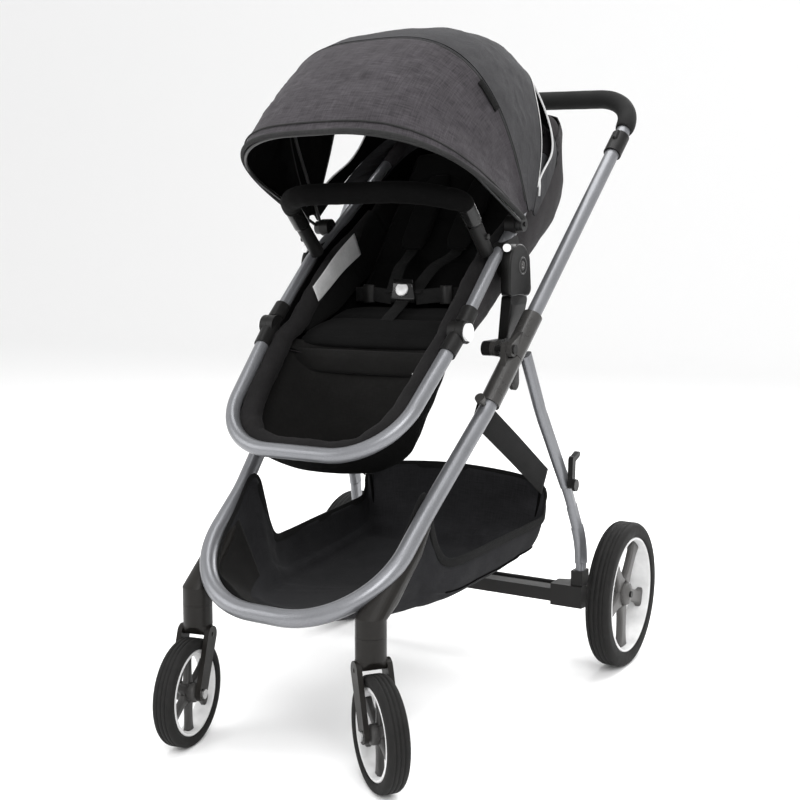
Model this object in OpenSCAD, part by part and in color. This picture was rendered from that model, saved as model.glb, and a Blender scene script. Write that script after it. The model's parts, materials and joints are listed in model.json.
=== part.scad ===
// Baby stroller with a U-shaped front frame, swivelling front wheels, a folding handle and rear frame,
// a reclining seat with a hinged footrest, a padded arm bar, a folding canopy and a sling basket.
// Millimetres. +Z up, the stroller faces -Y, +X is its own left side.
// The origin is on the ground under the middle of the stroller's length.

/* [Wheels] */
// Radius of the rear tyres
rear_wheel_r = 133; // [120:1:136]
// Width of the rear tyres
rear_wheel_w = 44; // [36:1:46]
// Radius of the front tyres
front_wheel_r = 83; // [76:1:84]
// Width of the front tyres
front_wheel_w = 33; // [28:1:34]
// Distance from the front swivel axis back to the rear axle
wheelbase = 663; // [655:1:690]
// Distance between the centres of the rear tyres
rear_track = 588; // [584:1:600]
// Distance between the front swivel axes
front_track = 320; // [316:1:322]

/* [Frame] */
// Outside radius of the front frame tube
frame_tube_r = 13.5; // [12:0.5:14]
// Outside radius of the handle tube
handle_tube_r = 12.5; // [11:0.5:13]
// Outside radius of the foam grip
grip_r = 17; // [16:0.5:19]
// Outside radius of the black sleeves at the fold
sleeve_r = 17; // [16:0.5:18]

/* [Seat] */
// Half the distance between the seat's side tubes
seat_half_w = 180; // [178:1:181]
// Outside radius of the footrest tube
footrest_tube_r = 11.5; // [10:0.5:12]
// Outside radius of the padded arm bar
armbar_r = 17; // [15:0.5:18]

/* [Canopy] */
// Half the width of the canopy's bows
canopy_half_w = 203; // [200:1:204]
// Reach of the front bow from the canopy pivot
canopy_reach = 341; // [335:1:350]

/* [Hidden] */
$fn = 48;
soft_fn = 32;
hair = 0.4;
run_gap = 0.02;
shaft_clearance = 0.05;

// Front caster: the wheel's centre sits ahead of the swivel axis, the fork turned as it was left.
caster_lead = 37;
caster_yaw_left = 52;
caster_yaw_right = 11.8;
caster_x = front_track / 2;
stem_r = 23;
stem_seam_z = 214;
stem_foot_z = 181;
fork_arm_t = 8;
fork_gap = front_wheel_w + 6;
swivel_pin_r = 6;
front_axle_r = 4;

// Front frame: control points of the tube's centre line, from the front bar to the fold.
front_corner = [170, -38, 230];
front_knee = [176, 135, 371];
front_top = [199, 281, 508];
front_corner_bend = 150;
slow_bend = 300;
tube_dir = [0.1111, 0.6545, 0.7478];
seam = front_top + tube_dir * 108.5;
front_sleeve_start = front_top + tube_dir * 16;

// Fold hinge: on the front edge of the sleeves, so that the handle lies over the frame.
hinge_offset = 24;
hinge_y = seam[1] - hinge_offset * 0.7525;
hinge_z = seam[2] + hinge_offset * 0.6586;
hinge_pin_r = 5;
knuckle_r = 12;
knuckle_in = [204.5, 213.5];
knuckle_out = [214, 223];

// Handle: corner control point and the arched middle of its crossbar.
handle_corner = [277, 745, 1042];
handle_middle = [0, 756, 1054];
handle_dir = unit(handle_corner - seam);
handle_bend = 74;
sleeve_top = seam + handle_dir * 88.5;
handle_start = seam + handle_dir * 26;
trigger_at = 505;
grip_at = 520;

// Rear frame: control points of the left leg's centre line, from the hinge plate to the axle beam.
rear_axle_y = wheelbase;
rear_axle_z = rear_wheel_r;
leg_points = [[205, 418, 590], [214, 462, 490], [228, 560, 330], [241, 592, 235], [241, 592, 162]];
leg_bends = [160, 200, 200];
leg_size = [26, 16];
beam_y = 590;
beam_z = 137;
beam_half = 236;
rear_shaft_r = 6;
pedal_axis = [606, 136];
pedal_pin_r = 4;
latch_x = 236;
latch_pivot = [540, 352];

// Seat: recline axis, footrest hinge and canopy pivot, as side-view points [y, z].
recline_axis = [398, 741];
recline_pin_r = 6;
footrest_axis = [228, 637];
canopy_axis = [405, 806];
post_in = 169;
hub_in = 172;
hub_out = 206;
button_x = 199;
seat_tube_r = 10;
seat_tube_knee = [181, 350, 752];
footrest_hinge = [seat_half_w, footrest_axis[0], footrest_axis[1]];
seat_dir = unit(seat_tube_knee - footrest_hinge);
seat_tube_start = footrest_hinge + seat_dir * 22;
seat_tube_bend = [178, 430, 806];
seat_tube_corner = [150, 668, 1008];
top_bar = [seat_tube_corner[1], seat_tube_corner[2]];
footrest_corner = [156, 43, 460];
footrest_dir = unit(footrest_corner - footrest_hinge);
shell_half_w = 157;
shell_outline = [[240, 600], [262, 588], [320, 600], [400, 631], [552, 716], [684, 795], [712, 850],
    [690, 920], [700, 972], [660, 972], [440, 784], [350, 724], [262, 641], [242, 622]];
shell_hollow = [[248, 606], [264, 596], [318, 606], [398, 637], [549, 722], [679, 799], [706, 850],
    [684, 920], [694, 968], [690, 1020], [300, 900], [200, 700]];

buckle_at = [0, 364, 696];
buckle_out = unit([0, -34, 12]);
buckle_button_r = 12;
footwell_points = [[60, 74, 462], [40, 100, 430], [70, 200, 424], [122, 196, 530], [124, 236, 574], [100, 236, 470]];

// Canopy bows, as angles above the horizontal, measured at the pivot from straight ahead.
front_bow_angle = 22;
middle_bow_angle = 62;
rear_edge_angle = 133;
bow_bend = 165;
bow_r = 2.8;
skin_gap = 4.5;
skin_side_gap = 12.5;
skin_t = 2.5;
skin_roundness = 3.4;

// Arm bar: foot in its socket, knee and front corner.
armbar_foot = [166, 300, 806];
armbar_knee = [166, 268, 838];
armbar_corner = [118, 200, 852];
armbar_dir = unit(armbar_knee - armbar_foot);
armbar_button_at = [322, 784];

// Basket: [half width, y, z, way its end moves when thinned, 1 on the open top edge].
basket_points = [
    [80, 0, 226, 1, 1], [126, 62, 274, 1, 1], [156, 190, 380, 0, 1], [186, 540, 350, -1, 1],
    [176, 510, 222, -1, 0], [150, 270, 206, 0, 0], [104, 34, 212, 1, 0]
];

// The whole object is moved along Y so that the origin is under the middle of its length.
front_reach = (caster_lead + front_wheel_r - 8) * cos(caster_yaw_right) + 8
    + (front_wheel_w / 2 - 8) * sin(caster_yaw_right);
rear_reach = rear_axle_y + rear_wheel_r;
mid_y = (rear_reach - front_reach) / 2;

SILVER = [0.47, 0.48, 0.50];
BLACK = [0.09, 0.09, 0.10];
CLOTH = [0.13, 0.13, 0.14];
CHARCOAL = [0.24, 0.24, 0.26];
WHITE = [0.88, 0.88, 0.87];
RUBBER = [0.16, 0.15, 0.15];
STEEL = [0.62, 0.62, 0.64];

function unit(v) = v / norm(v);
function side(p, s) = [p[0] * s, p[1], p[2]];
function tangent(a, b, c, r) = r / tan(acos(unit(a - b) * unit(c - b)) / 2);
function at_x(x, p) = [x, p[0], p[1]];

module placed() {
    translate([0, -mid_y, 0]) children();
}

module frame_at(o, x, y, z) {
    multmatrix([[x[0], y[0], z[0], o[0]], [x[1], y[1], z[1], o[1]], [x[2], y[2], z[2], o[2]], [0, 0, 0, 1]])
        children();
}

// A 2D profile carried along straight runs and round bends; the profile's Y lies along the normal.
// A run stops a hair short of each bend, so that every run and bend stays its own exact solid.
module swept(points, bends, normal = [1, 0, 0]) {
    last = len(points) - 1;
    for (i = [0 : last - 1]) {
        a = points[i];
        b = points[i + 1];
        d = unit(b - a);
        from = i == 0 ? 0 : tangent(points[i - 1], a, b, bends[i - 1]);
        to = i == last - 1 ? 0 : tangent(a, b, points[i + 2], bends[i]);
        n = abs(normal * d) > 0.9 ? [0, 0, 1] : normal;
        y = unit(n - (n * d) * d);
        start = from + (i == 0 ? 0 : run_gap);
        end = to + (i == last - 1 ? 0 : run_gap);
        frame_at(a + d * start, cross(y, d), y, d) linear_extrude(norm(b - a) - start - end) children();
    }
    for (i = [1 : 1 : last - 1]) {
        u = unit(points[i - 1] - points[i]);
        w = unit(points[i + 1] - points[i]);
        angle = acos(u * w);
        r = bends[i - 1];
        centre = points[i] + unit(u + w) * r / sin(angle / 2);
        x = unit(points[i] + u * r / tan(angle / 2) - centre);
        z = unit(cross(x, points[i] + w * r / tan(angle / 2) - centre));
        frame_at(centre, x, cross(z, x), z)
            rotate_extrude(angle = 180 - angle) translate([r, 0]) children();
    }
}

module rod(a, b, r) {
    d = unit(b - a);
    y = unit(cross(d, abs(d[0]) > 0.9 ? [0, 0, 1] : [1, 0, 0]));
    frame_at(a, cross(y, d), y, d) cylinder(h = norm(b - a), r = r);
}

// A cylinder lying along X between two x values, centred on a side-view point.
module cross_pin(x0, x1, p, r) {
    translate([min(x0, x1), p[0], p[1]]) rotate([0, 90, 0]) cylinder(h = abs(x1 - x0), r = r);
}

// A flat plate lying in the side view, given as 2D children in (y, z), from x0 to x1.
module plate(x0, x1) {
    translate([min(x0, x1), 0, 0]) rotate([90, 0, 90]) linear_extrude(abs(x1 - x0)) children();
}

module slab_2d(points, r) {
    hull() for (p = points) translate(p) circle(r, $fn = soft_fn);
}

module both_sides() {
    children();
    mirror([1, 0, 0]) children();
}

module round_bar(size) {
    w = size[0] - size[1];
    square([w, size[1]], center = true);
    for (s = [-1, 1]) translate([s * w / 2, 0]) circle(d = size[1]);
}

// ---- Front frame -------------------------------------------------------------------------

module frame_path() {
    right = [front_corner, front_knee, front_top, seam - tube_dir * 26];
    left = [for (i = [3 : -1 : 0]) side(right[i], -1)];
    swept(concat(left, right), [slow_bend, slow_bend, front_corner_bend, front_corner_bend, slow_bend, slow_bend])
        children();
}

module front_frame_tube() {
    color(SILVER) placed() frame_path() circle(frame_tube_r);
}

// The casting is moulded round the frame tube and carries the swivel stem's socket.
module leg_casting(s) {
    difference() {
        union() {
            translate([s * caster_x, 0, stem_seam_z + hair]) cylinder(h = 26, r = stem_r);
            hull() {
                translate([s * caster_x, 0, stem_seam_z + 24]) cylinder(h = 4, r = stem_r, $fn = soft_fn);
                translate([s * 164, 34, 262]) sphere(r = 20, $fn = soft_fn);
                translate([s * 172, 96, 318]) sphere(r = 16, $fn = soft_fn);
            }
            hull() {
                translate([s * 172, 96, 318]) sphere(r = 16, $fn = soft_fn);
                translate([s * 177, 126, 350]) sphere(r = 9, $fn = soft_fn);
            }
        }
        translate([s * caster_x, 0, 0]) cylinder(h = stem_seam_z + 24, r = swivel_pin_r + shaft_clearance);
    }
}

module leg_castings() {
    color(BLACK) placed() for (s = [-1, 1]) leg_casting(s);
}

// ---- Casters -----------------------------------------------------------------------------

module at_caster(s) {
    yaw = s > 0 ? caster_yaw_left : caster_yaw_right;
    placed() translate([s * caster_x, 0, 0]) rotate([0, 0, yaw]) children();
}

module caster_fork(s) {
    arm_in = fork_gap / 2;
    color(BLACK) at_caster(s) {
        difference() {
            union() {
                translate([0, 0, stem_foot_z]) cylinder(h = stem_seam_z - stem_foot_z, r = stem_r);
                translate([0, 0, stem_seam_z - 1]) cylinder(h = 24, r = swivel_pin_r);
                hull() {
                    translate([0, 0, stem_foot_z]) cylinder(h = 4, r = stem_r - 1, $fn = soft_fn);
                    for (e = [-1, 1])
                        translate([e * (arm_in + fork_arm_t / 2), -4, stem_foot_z - 14])
                            sphere(r = fork_arm_t / 2 + 1.5, $fn = soft_fn);
                }
                for (e = [-1, 1])
                    translate([e * arm_in - (e < 0 ? fork_arm_t : 0), 0, 0]) plate(0, fork_arm_t) hull() {
                        translate([-4, stem_foot_z - 14]) circle(14, $fn = soft_fn);
                        translate([-caster_lead, front_wheel_r]) circle(12, $fn = soft_fn);
                    }
            }
            translate([-arm_in, -caster_lead, front_wheel_r]) rotate([0, 90, 0])
                cylinder(h = fork_gap, r = front_wheel_r + 5);
            cross_pin(-arm_in - 20, arm_in + 20, [-caster_lead, front_wheel_r], front_axle_r);
        }
    }
}
module caster_fork_left() { caster_fork(1); }
module caster_fork_right() { caster_fork(-1); }

module at_front_wheel(s) {
    at_caster(s) translate([0, -caster_lead, front_wheel_r]) rotate([0, 90, 0]) children();
}

module ring(outer, inner, w, soft = 4) {
    rotate_extrude() translate([inner, 0]) union() {
        square([outer - inner - soft, w], center = false);
        translate([0, soft]) square([outer - inner, w - 2 * soft]);
        for (z = [soft, w - soft]) translate([outer - inner - soft, z]) circle(soft);
    }
}

module front_tyre(s) {
    color(RUBBER) at_front_wheel(s) translate([0, 0, -front_wheel_w / 2])
        ring(front_wheel_r, 66, front_wheel_w, 8);
}
module front_tyre_left() { front_tyre(1); }
module front_tyre_right() { front_tyre(-1); }

// Spoked rim: an outer barrel, a hub with the axle bore and evenly spaced spokes.
module rim(outer, wall, w, hub_r, hub_w, bore, spokes, spoke_w, spoke_t) {
    difference() {
        union() {
            difference() {
                cylinder(h = w, r = outer, center = true);
                cylinder(h = w + 2, r = outer - wall, center = true);
            }
            cylinder(h = hub_w, r = hub_r, center = true);
            for (i = [0 : spokes - 1])
                rotate([0, 0, i * 360 / spokes + 90])
                    translate([hub_r - 2, -spoke_w / 2, -spoke_t / 2])
                        cube([outer - wall - hub_r + 3, spoke_w, spoke_t]);
        }
        cylinder(h = w + hub_w, r = bore, center = true);
    }
}

module front_rim(s) {
    color(WHITE) at_front_wheel(s)
        rim(66 - 0.02, 4.5, front_wheel_w - 3, 15, fork_gap - 1.6, front_axle_r + shaft_clearance, 6, 13, 10);
}
module front_rim_left() { front_rim(1); }
module front_rim_right() { front_rim(-1); }

module front_axle(s) {
    reach = fork_gap / 2 + fork_arm_t + hair;
    color(STEEL) at_front_wheel(s) {
        cylinder(h = 2 * reach, r = front_axle_r, center = true);
        for (e = [-1, 1]) translate([0, 0, e * (reach + 1.5)]) cylinder(h = 3, r = 7.5, center = true);
    }
}
module front_axle_left() { front_axle(1); }
module front_axle_right() { front_axle(-1); }

// ---- Fold hinge --------------------------------------------------------------------------

module lower_sleeve(s) {
    difference() {
        union() {
            rod(side(front_sleeve_start, s), side(seam - tube_dir * hair, s), sleeve_r);
            plate(s * knuckle_in[0], s * knuckle_in[1]) hull() {
                translate([hinge_y, hinge_z]) circle(knuckle_r, $fn = soft_fn);
                translate([seam[1] - 24, seam[2] - 30]) circle(8, $fn = soft_fn);
            }
        }
        rod(side(front_top, s), side(seam - tube_dir * 26, s), frame_tube_r);
        cross_pin(s * (knuckle_in[1] + 0.2), s * 240, [hinge_y, hinge_z], knuckle_r + 2);
        cross_pin(s * 160, s * 240, [hinge_y, hinge_z], hinge_pin_r);
    }
}

module frame_sleeves() {
    color(BLACK) placed() for (s = [-1, 1]) lower_sleeve(s);
}

module upper_sleeve(s) {
    difference() {
        union() {
            rod(side(seam + handle_dir * hair, s), side(sleeve_top, s), sleeve_r);
            plate(s * knuckle_out[0], s * knuckle_out[1]) hull() {
                translate([hinge_y, hinge_z]) circle(knuckle_r, $fn = soft_fn);
                translate([seam[1] + 16, seam[2] + 34]) circle(8, $fn = soft_fn);
            }
        }
        rod(side(handle_start, s), side(sleeve_top + handle_dir, s), handle_tube_r + 0.02);
        cross_pin(s * (knuckle_out[0] - 0.2), s * 180, [hinge_y, hinge_z], knuckle_r + 2);
        cross_pin(s * 190, s * 240, [hinge_y, hinge_z], hinge_pin_r + shaft_clearance);
    }
}

module handle_sleeves() {
    color(BLACK) placed() for (s = [-1, 1]) upper_sleeve(s);
}

module fold_pivot_pins() {
    color(STEEL) placed() both_sides() {
        cross_pin(post_in - 3, knuckle_out[1] + hair, [hinge_y, hinge_z], hinge_pin_r);
        cross_pin(knuckle_out[1] + hair, knuckle_out[1] + 3, [hinge_y, hinge_z], hinge_pin_r + 3);
    }
}

module accessory_stud() {
    foot = front_top + tube_dir * 5;
    out = [0, -0.7525, 0.6586];
    color(BLACK) placed() {
        rod(foot + out * (frame_tube_r - 2), foot + out * (frame_tube_r + 12), 4);
        rod(foot + out * (frame_tube_r + 12), foot + out * (frame_tube_r + 20), 8);
    }
}

// ---- Handle ------------------------------------------------------------------------------

module handle_path(start) {
    swept([side(start, -1), side(handle_corner, -1), handle_middle, handle_corner, start],
        [handle_bend, 900, handle_bend]) children();
}

module handle_tube() {
    color(SILVER) placed() handle_path(handle_start) circle(handle_tube_r);
}

module foam_grip() {
    color(BLACK) placed() handle_path(seam + handle_dir * grip_at) difference() {
        circle(grip_r);
        circle(handle_tube_r + 0.02);
    }
}

module fold_trigger(s) {
    a = side(seam + handle_dir * (trigger_at - 44), s);
    b = side(seam + handle_dir * trigger_at, s);
    lip = [0, -0.7525 * 15, 0.6586 * 15];
    color(BLACK) placed() difference() {
        union() {
            rod(a, b, 16);
            hull() {
                translate(b - side(handle_dir, s) * 18 + lip) sphere(r = 5, $fn = soft_fn);
                translate(b - side(handle_dir, s) * 5 + lip * 1.1) sphere(r = 4, $fn = soft_fn);
            }
        }
        rod(a - side(handle_dir, s) * 5, b + side(handle_dir, s) * 5, handle_tube_r + shaft_clearance);
    }
}
module fold_trigger_left() { fold_trigger(1); }
module fold_trigger_right() { fold_trigger(-1); }

// ---- Rear frame --------------------------------------------------------------------------

module rear_leg(s) {
    color(SILVER) placed()
        swept([for (p = leg_points) side(p, s)], leg_bends, [1, 0, 0]) round_bar(leg_size);
}
module rear_leg_left() { rear_leg(1); }
module rear_leg_right() { rear_leg(-1); }

module rear_hinge_plates() {
    color(BLACK) placed() both_sides() difference() {
        plate(184, 190.5) {
            hull() {
                translate([hinge_y, hinge_z]) circle(12, $fn = soft_fn);
                translate([leg_points[0][1] - 10, leg_points[0][2] + 6]) circle(14, $fn = soft_fn);
            }
            slab_2d([[leg_points[0][1] - 10, leg_points[0][2] + 6], [leg_points[0][1] - 7, leg_points[0][2] - 46]], 14);
        }
        cross_pin(160, 240, [hinge_y, hinge_z], hinge_pin_r + shaft_clearance);
    }
}

module rear_axle_beam() {
    color(BLACK) placed() difference() {
        union() {
            translate([-beam_half, beam_y - 14, beam_z - 13]) cube([2 * beam_half, 30, 24]);
            both_sides() {
                hull() {
                    translate([beam_half - 46, beam_y - 18, beam_z - 18]) cube([60, 38, 40]);
                    translate([beam_half - 6, beam_y + 62, rear_axle_z]) rotate([0, 90, 0])
                        cylinder(h = 26, r = 19, $fn = soft_fn);
                }
                translate([beam_half - 8, beam_y - 14, beam_z]) cube([22, 32, 50 - hair]);
                cross_pin(34, 45, pedal_axis, 10);
            }
        }
        cross_pin(-300, 300, [rear_axle_y, rear_axle_z], rear_shaft_r);
        translate([-34, beam_y + 2, beam_z - 40]) cube([68, 40, 80]);
        both_sides() translate([leg_points[4][0], leg_points[4][1], leg_points[4][2] - 0.02])
            linear_extrude(60) rotate(90) round_bar([leg_size[0] + 0.04, leg_size[1] + 0.04]);
    }
    color(STEEL) placed() cross_pin(-36, 36, pedal_axis, pedal_pin_r);
}

module rear_axle_shaft() {
    color(STEEL) placed() cross_pin(-314, 314, [rear_axle_y, rear_axle_z], rear_shaft_r);
}

module at_rear_wheel(s) {
    placed() translate([s * rear_track / 2, rear_axle_y, rear_axle_z]) rotate([0, s * 90, 0]) children();
}

module rear_tyre(s) {
    color(RUBBER) at_rear_wheel(s) translate([0, 0, -rear_wheel_w / 2])
        ring(rear_wheel_r, 106, rear_wheel_w, 10);
}
module rear_tyre_left() { rear_tyre(1); }
module rear_tyre_right() { rear_tyre(-1); }

module rear_rim(s) {
    color(WHITE) at_rear_wheel(s)
        rim(106 - 0.02, 6, rear_wheel_w - 4, 20, 34, rear_shaft_r + shaft_clearance, 5, 17, 14);
}
module rear_rim_left() { rear_rim(1); }
module rear_rim_right() { rear_rim(-1); }

module brake_pedal() {
    color(BLACK) placed() difference() {
        union() {
            cross_pin(-30, 30, pedal_axis, 9);
            plate(-26, 26) slab_2d([pedal_axis + [4, 5], pedal_axis + [58, 32]], 5);
        }
        cross_pin(-40, 40, pedal_axis, pedal_pin_r + shaft_clearance);
    }
}

// The catch that holds the folded frame, on the left leg, and the studs that it and its strap use.
module frame_latch() {
    color(BLACK) placed() difference() {
        plate(latch_x, latch_x + 9) {
            slab_2d([latch_pivot, [latch_pivot[0] + 2, latch_pivot[1] + 44]], 7);
            slab_2d([[latch_pivot[0] + 2, latch_pivot[1] + 44], [latch_pivot[0] + 24, latch_pivot[1] + 52]], 5);
        }
        cross_pin(latch_x - 5, latch_x + 20, latch_pivot, 5 + shaft_clearance);
    }
}

module latch_studs() {
    color(BLACK) placed() {
        cross_pin(latch_x - 1, latch_x + 10, latch_pivot, 5);
        cross_pin(latch_x + 9.5, latch_x + 15, latch_pivot, 11);
    }
}

// ---- Seat mounts -------------------------------------------------------------------------

module seat_post(s) {
    difference() {
        union() {
            hull() {
                plate(s * post_in, s * (post_in + 14)) slab_2d([[396, 606], [424, 606]], 12);
                plate(s * 182, s * 199) slab_2d([[378, 682], [426, 682]], 8);
            }
            plate(s * post_in, s * (post_in + 14)) slab_2d([[hinge_y, hinge_z], [404, 606]], 12);
            translate([s * 196.5 - 2.5, 389, 685]) cube([5, 18, 24]);
        }
        cross_pin(s * 150, s * 230, [hinge_y, hinge_z], hinge_pin_r);
        plate(s * 183.4, s * 240) translate([300, 570]) square([160, 49]);
    }
}

module seat_posts() {
    color(BLACK) placed() for (s = [-1, 1]) seat_post(s);
}

module seat_adapter(s) {
    difference() {
        union() {
            plate(s * 191, s * hub_out) hull() {
                translate(recline_axis) circle(31, $fn = soft_fn);
                translate([381, 702]) circle(10, $fn = soft_fn);
                translate([424, 701]) circle(10, $fn = soft_fn);
            }
            rod([s * button_x, 378, 767], [s * button_x, 356, 767], 7.5);
        }
        translate([s * 196.5 - 2.8, 388.7, 680]) cube([5.6, 18.6, 30]);
        cross_pin(s * 160, s * 230, recline_axis, recline_pin_r);
        rod([s * button_x, 366, 767], [s * button_x, 340, 767], 6.5 + shaft_clearance);
    }
}

module seat_adapters() {
    color(BLACK) placed() for (s = [-1, 1]) seat_adapter(s);
}

module recline_pivot_pins() {
    color(STEEL) placed() both_sides() cross_pin(hub_in - 3, hub_out, recline_axis, recline_pin_r);
}

module seat_release_button(s) {
    color(WHITE) placed() rod([s * button_x, 362, 767], [s * button_x, 352.5, 767], 6.5);
}
module seat_release_button_left() { seat_release_button(1); }
module seat_release_button_right() { seat_release_button(-1); }

// ---- Seat frame --------------------------------------------------------------------------

module seat_tube_path() {
    right = [seat_tube_start, seat_tube_knee, seat_tube_bend, seat_tube_corner];
    swept(concat([for (p = right) side(p, -1)], [for (i = [3 : -1 : 0]) right[i]]),
        [150, 150, 60, 60, 150, 150]) children();
}

module seat_frame_tube() {
    color(SILVER) placed() seat_tube_path() circle(seat_tube_r);
}

module seat_hubs() {
    color(BLACK) placed() difference() {
        both_sides() plate(hub_in, hub_in + 18) hull() {
            translate(recline_axis) circle(26, $fn = soft_fn);
            translate([366, 766]) circle(9, $fn = soft_fn);
            translate([408, 779]) circle(9, $fn = soft_fn);
        }
        cross_pin(-230, 230, recline_axis, recline_pin_r + shaft_clearance);
    }
}

// The squeeze lever hangs on the seat's top crossbar.
module recline_lever() {
    color(BLACK) placed() difference() {
        union() {
            both_sides() cross_pin(24, 36, top_bar, 15);
            both_sides() plate(24, 36) slab_2d([top_bar + [12, 0], top_bar + [46, -12]], 4);
            plate(-36, 36) slab_2d([top_bar + [46, -12], top_bar + [54, -50]], 4);
        }
        cross_pin(-40, 40, top_bar, seat_tube_r + shaft_clearance);
    }
}

// Half of the footrest hinge: a ring round one tube and a knuckle at the axis.
module hinge_half(s, x0, x1, x2, x3, dir, tube_r) {
    axis_point = side(footrest_hinge, s);
    difference() {
        union() {
            rod(axis_point + dir * 6, axis_point + dir * 46, 14);
            cross_pin(s * x0, s * x1, footrest_axis, 18);
        }
        cross_pin(s * x2, s * x3, footrest_axis, 19);
        rod(axis_point + dir * 20, axis_point + dir * 60, tube_r);
    }
}

module footrest_hinge_housings() {
    color(BLACK) placed() both_sides() difference() {
        hinge_half(1, 180.4, 193, 150, 180.4, seat_dir, seat_tube_r + 0.02);
        cross_pin(160, 240, footrest_axis, 5);
        cross_pin(186, 240, footrest_axis, 14 + shaft_clearance);
    }
}

module footrest_sockets() {
    color(BLACK) placed() both_sides() difference() {
        hinge_half(1, 167, 180, 180, 210, footrest_dir, footrest_tube_r + 0.02);
        cross_pin(150, 240, footrest_axis, 5 + shaft_clearance);
    }
}

module footrest_pivot_pins() {
    color(STEEL) placed() both_sides() cross_pin(166, 185.5, footrest_axis, 5);
}

module footrest_tube() {
    start = footrest_hinge + footrest_dir * 20;
    color(SILVER) placed()
        swept([side(start, -1), side(footrest_corner, -1), footrest_corner, start], [112, 112])
            circle(footrest_tube_r);
}

module footrest_button(s) {
    color(WHITE) placed() cross_pin(s * 189.5, s * 198, footrest_axis, 14);
}
module footrest_button_left() { footrest_button(1); }
module footrest_button_right() { footrest_button(-1); }

// ---- Seat fabric -------------------------------------------------------------------------

module seat_shell() {
    color(CLOTH) placed() difference() {
        plate(-shell_half_w, shell_half_w) polygon(shell_outline);
        plate(-shell_half_w + 5, shell_half_w - 5) polygon(shell_hollow);
    }
}

module seat_pad() {
    color(CHARCOAL) placed() {
        plate(-140, 140) slab_2d([[262, 622], [400, 656]], 11);
        plate(-140, 140) slab_2d([[434, 682], [640, 948]], 12);
    }
}

// Rounded tub: half width, y and z of its corners.
module footwell_form(inset) {
    hull() for (p = footwell_points) for (s = [-1, 1])
        translate([s * (p[0] - inset), p[1], p[2]]) sphere(r = 12 - inset, $fn = 16);
}

module footwell_cover() {
    color(CLOTH) placed() difference() {
        footwell_form(0);
        footwell_form(5);
        translate([-200, 60, 464]) rotate([44, 0, 0]) translate([0, -40, 0]) cube([400, 400, 200]);
    }
}

module harness() {
    up = unit([206, 266]);
    front = [-up[1], up[0]];
    low = [434, 682] + front * 13;
    color(BLACK) placed() {
        both_sides() plate(36, 62) slab_2d([low + up * 60, low + up * 270], 1);
        both_sides() plate(70, 128) slab_2d([[392, 671], [404, 674]], 1);
        plate(-13, 13) slab_2d([[318, 653], [352, 676]], 1.2);
        difference() {
            plate(-25, 25) slab_2d([[358, 679], [370, 713]], 5);
            rod(buckle_at + buckle_out, buckle_at + buckle_out * 20, buckle_button_r + shaft_clearance);
        }
    }
}

module buckle_button() {
    color(WHITE) placed() rod(buckle_at + buckle_out * 3.2, buckle_at + buckle_out * 8.2, buckle_button_r);
}

// ---- Arm bar -----------------------------------------------------------------------------

module armbar() {
    color(BLACK) placed() {
        swept([side(armbar_foot, -1), side(armbar_knee, -1), side(armbar_corner, -1), armbar_corner,
            armbar_knee, armbar_foot], [28, 100, 100, 28]) circle(armbar_r);
        both_sides() rod(armbar_foot, armbar_foot - armbar_dir * 24, 8);
    }
}

module armbar_sockets() {
    color(BLACK) placed() both_sides() difference() {
        rod(armbar_foot - armbar_dir * 65, armbar_foot - armbar_dir * hair, 12.4);
        rod(armbar_foot - armbar_dir * 28, armbar_foot, 8 + shaft_clearance);
        cross_pin(armbar_foot[0] + 8, armbar_foot[0] + 20, armbar_button_at, 5 + shaft_clearance);
    }
}

module armbar_button(s) {
    color(BLACK) placed()
        cross_pin(s * (armbar_foot[0] + 11), s * (armbar_foot[0] + 16), armbar_button_at, 5);
}
module armbar_button_left() { armbar_button(1); }
module armbar_button_right() { armbar_button(-1); }

// ---- Canopy ------------------------------------------------------------------------------

module canopy_mounts() {
    color(BLACK) placed() difference() {
        both_sides() cross_pin(176, 193.5, canopy_axis, 15);
        cross_pin(-240, 240, canopy_axis, 4);
    }
}

module canopy_pivot_pins() {
    color(STEEL) placed() both_sides() cross_pin(186, 208.5, canopy_axis, 4);
}

// A bow is a flat U of spring wire in a plane through the pivot axis.
module canopy_bow(angle, half_w, reach) {
    out = [0, -cos(angle), sin(angle)];
    foot = at_x(half_w, canopy_axis) + out * 9;
    corner = at_x(half_w, canopy_axis) + out * reach;
    swept([side(foot, -1), side(corner, -1), corner, foot], [bow_bend, bow_bend])
        circle(bow_r);
    both_sides() difference() {
        cross_pin(half_w - 2.9, half_w + 2.9, canopy_axis, 12);
        cross_pin(half_w - 9, half_w + 9, canopy_axis, 4 + shaft_clearance);
    }
}

module canopy_front_bow() {
    color(BLACK) placed() canopy_bow(front_bow_angle, canopy_half_w, canopy_reach);
}

module canopy_middle_bow() {
    color(BLACK) placed() canopy_bow(middle_bow_angle, canopy_half_w - 6.2, reach_at(middle_bow_angle));
}

// How far the canopy's middle line is from the pivot at an angle, and a point on its rounded section.
function reach_at(angle) = lookup(angle, [[front_bow_angle, canopy_reach], [middle_bow_angle, canopy_reach - 22],
    [100, canopy_reach - 18], [rear_edge_angle, canopy_reach - 52]]);
function bow_point(t, angle, grow) =
    let (x = (canopy_half_w + skin_side_gap + grow) * sign(sin(t)) * pow(abs(sin(t)), 2 / skin_roundness))
    let (r = (reach_at(angle) + skin_gap + grow) * pow(abs(cos(t)), 2 / skin_roundness))
    [x, canopy_axis[0] - r * cos(angle), canopy_axis[1] + r * sin(angle)];

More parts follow.
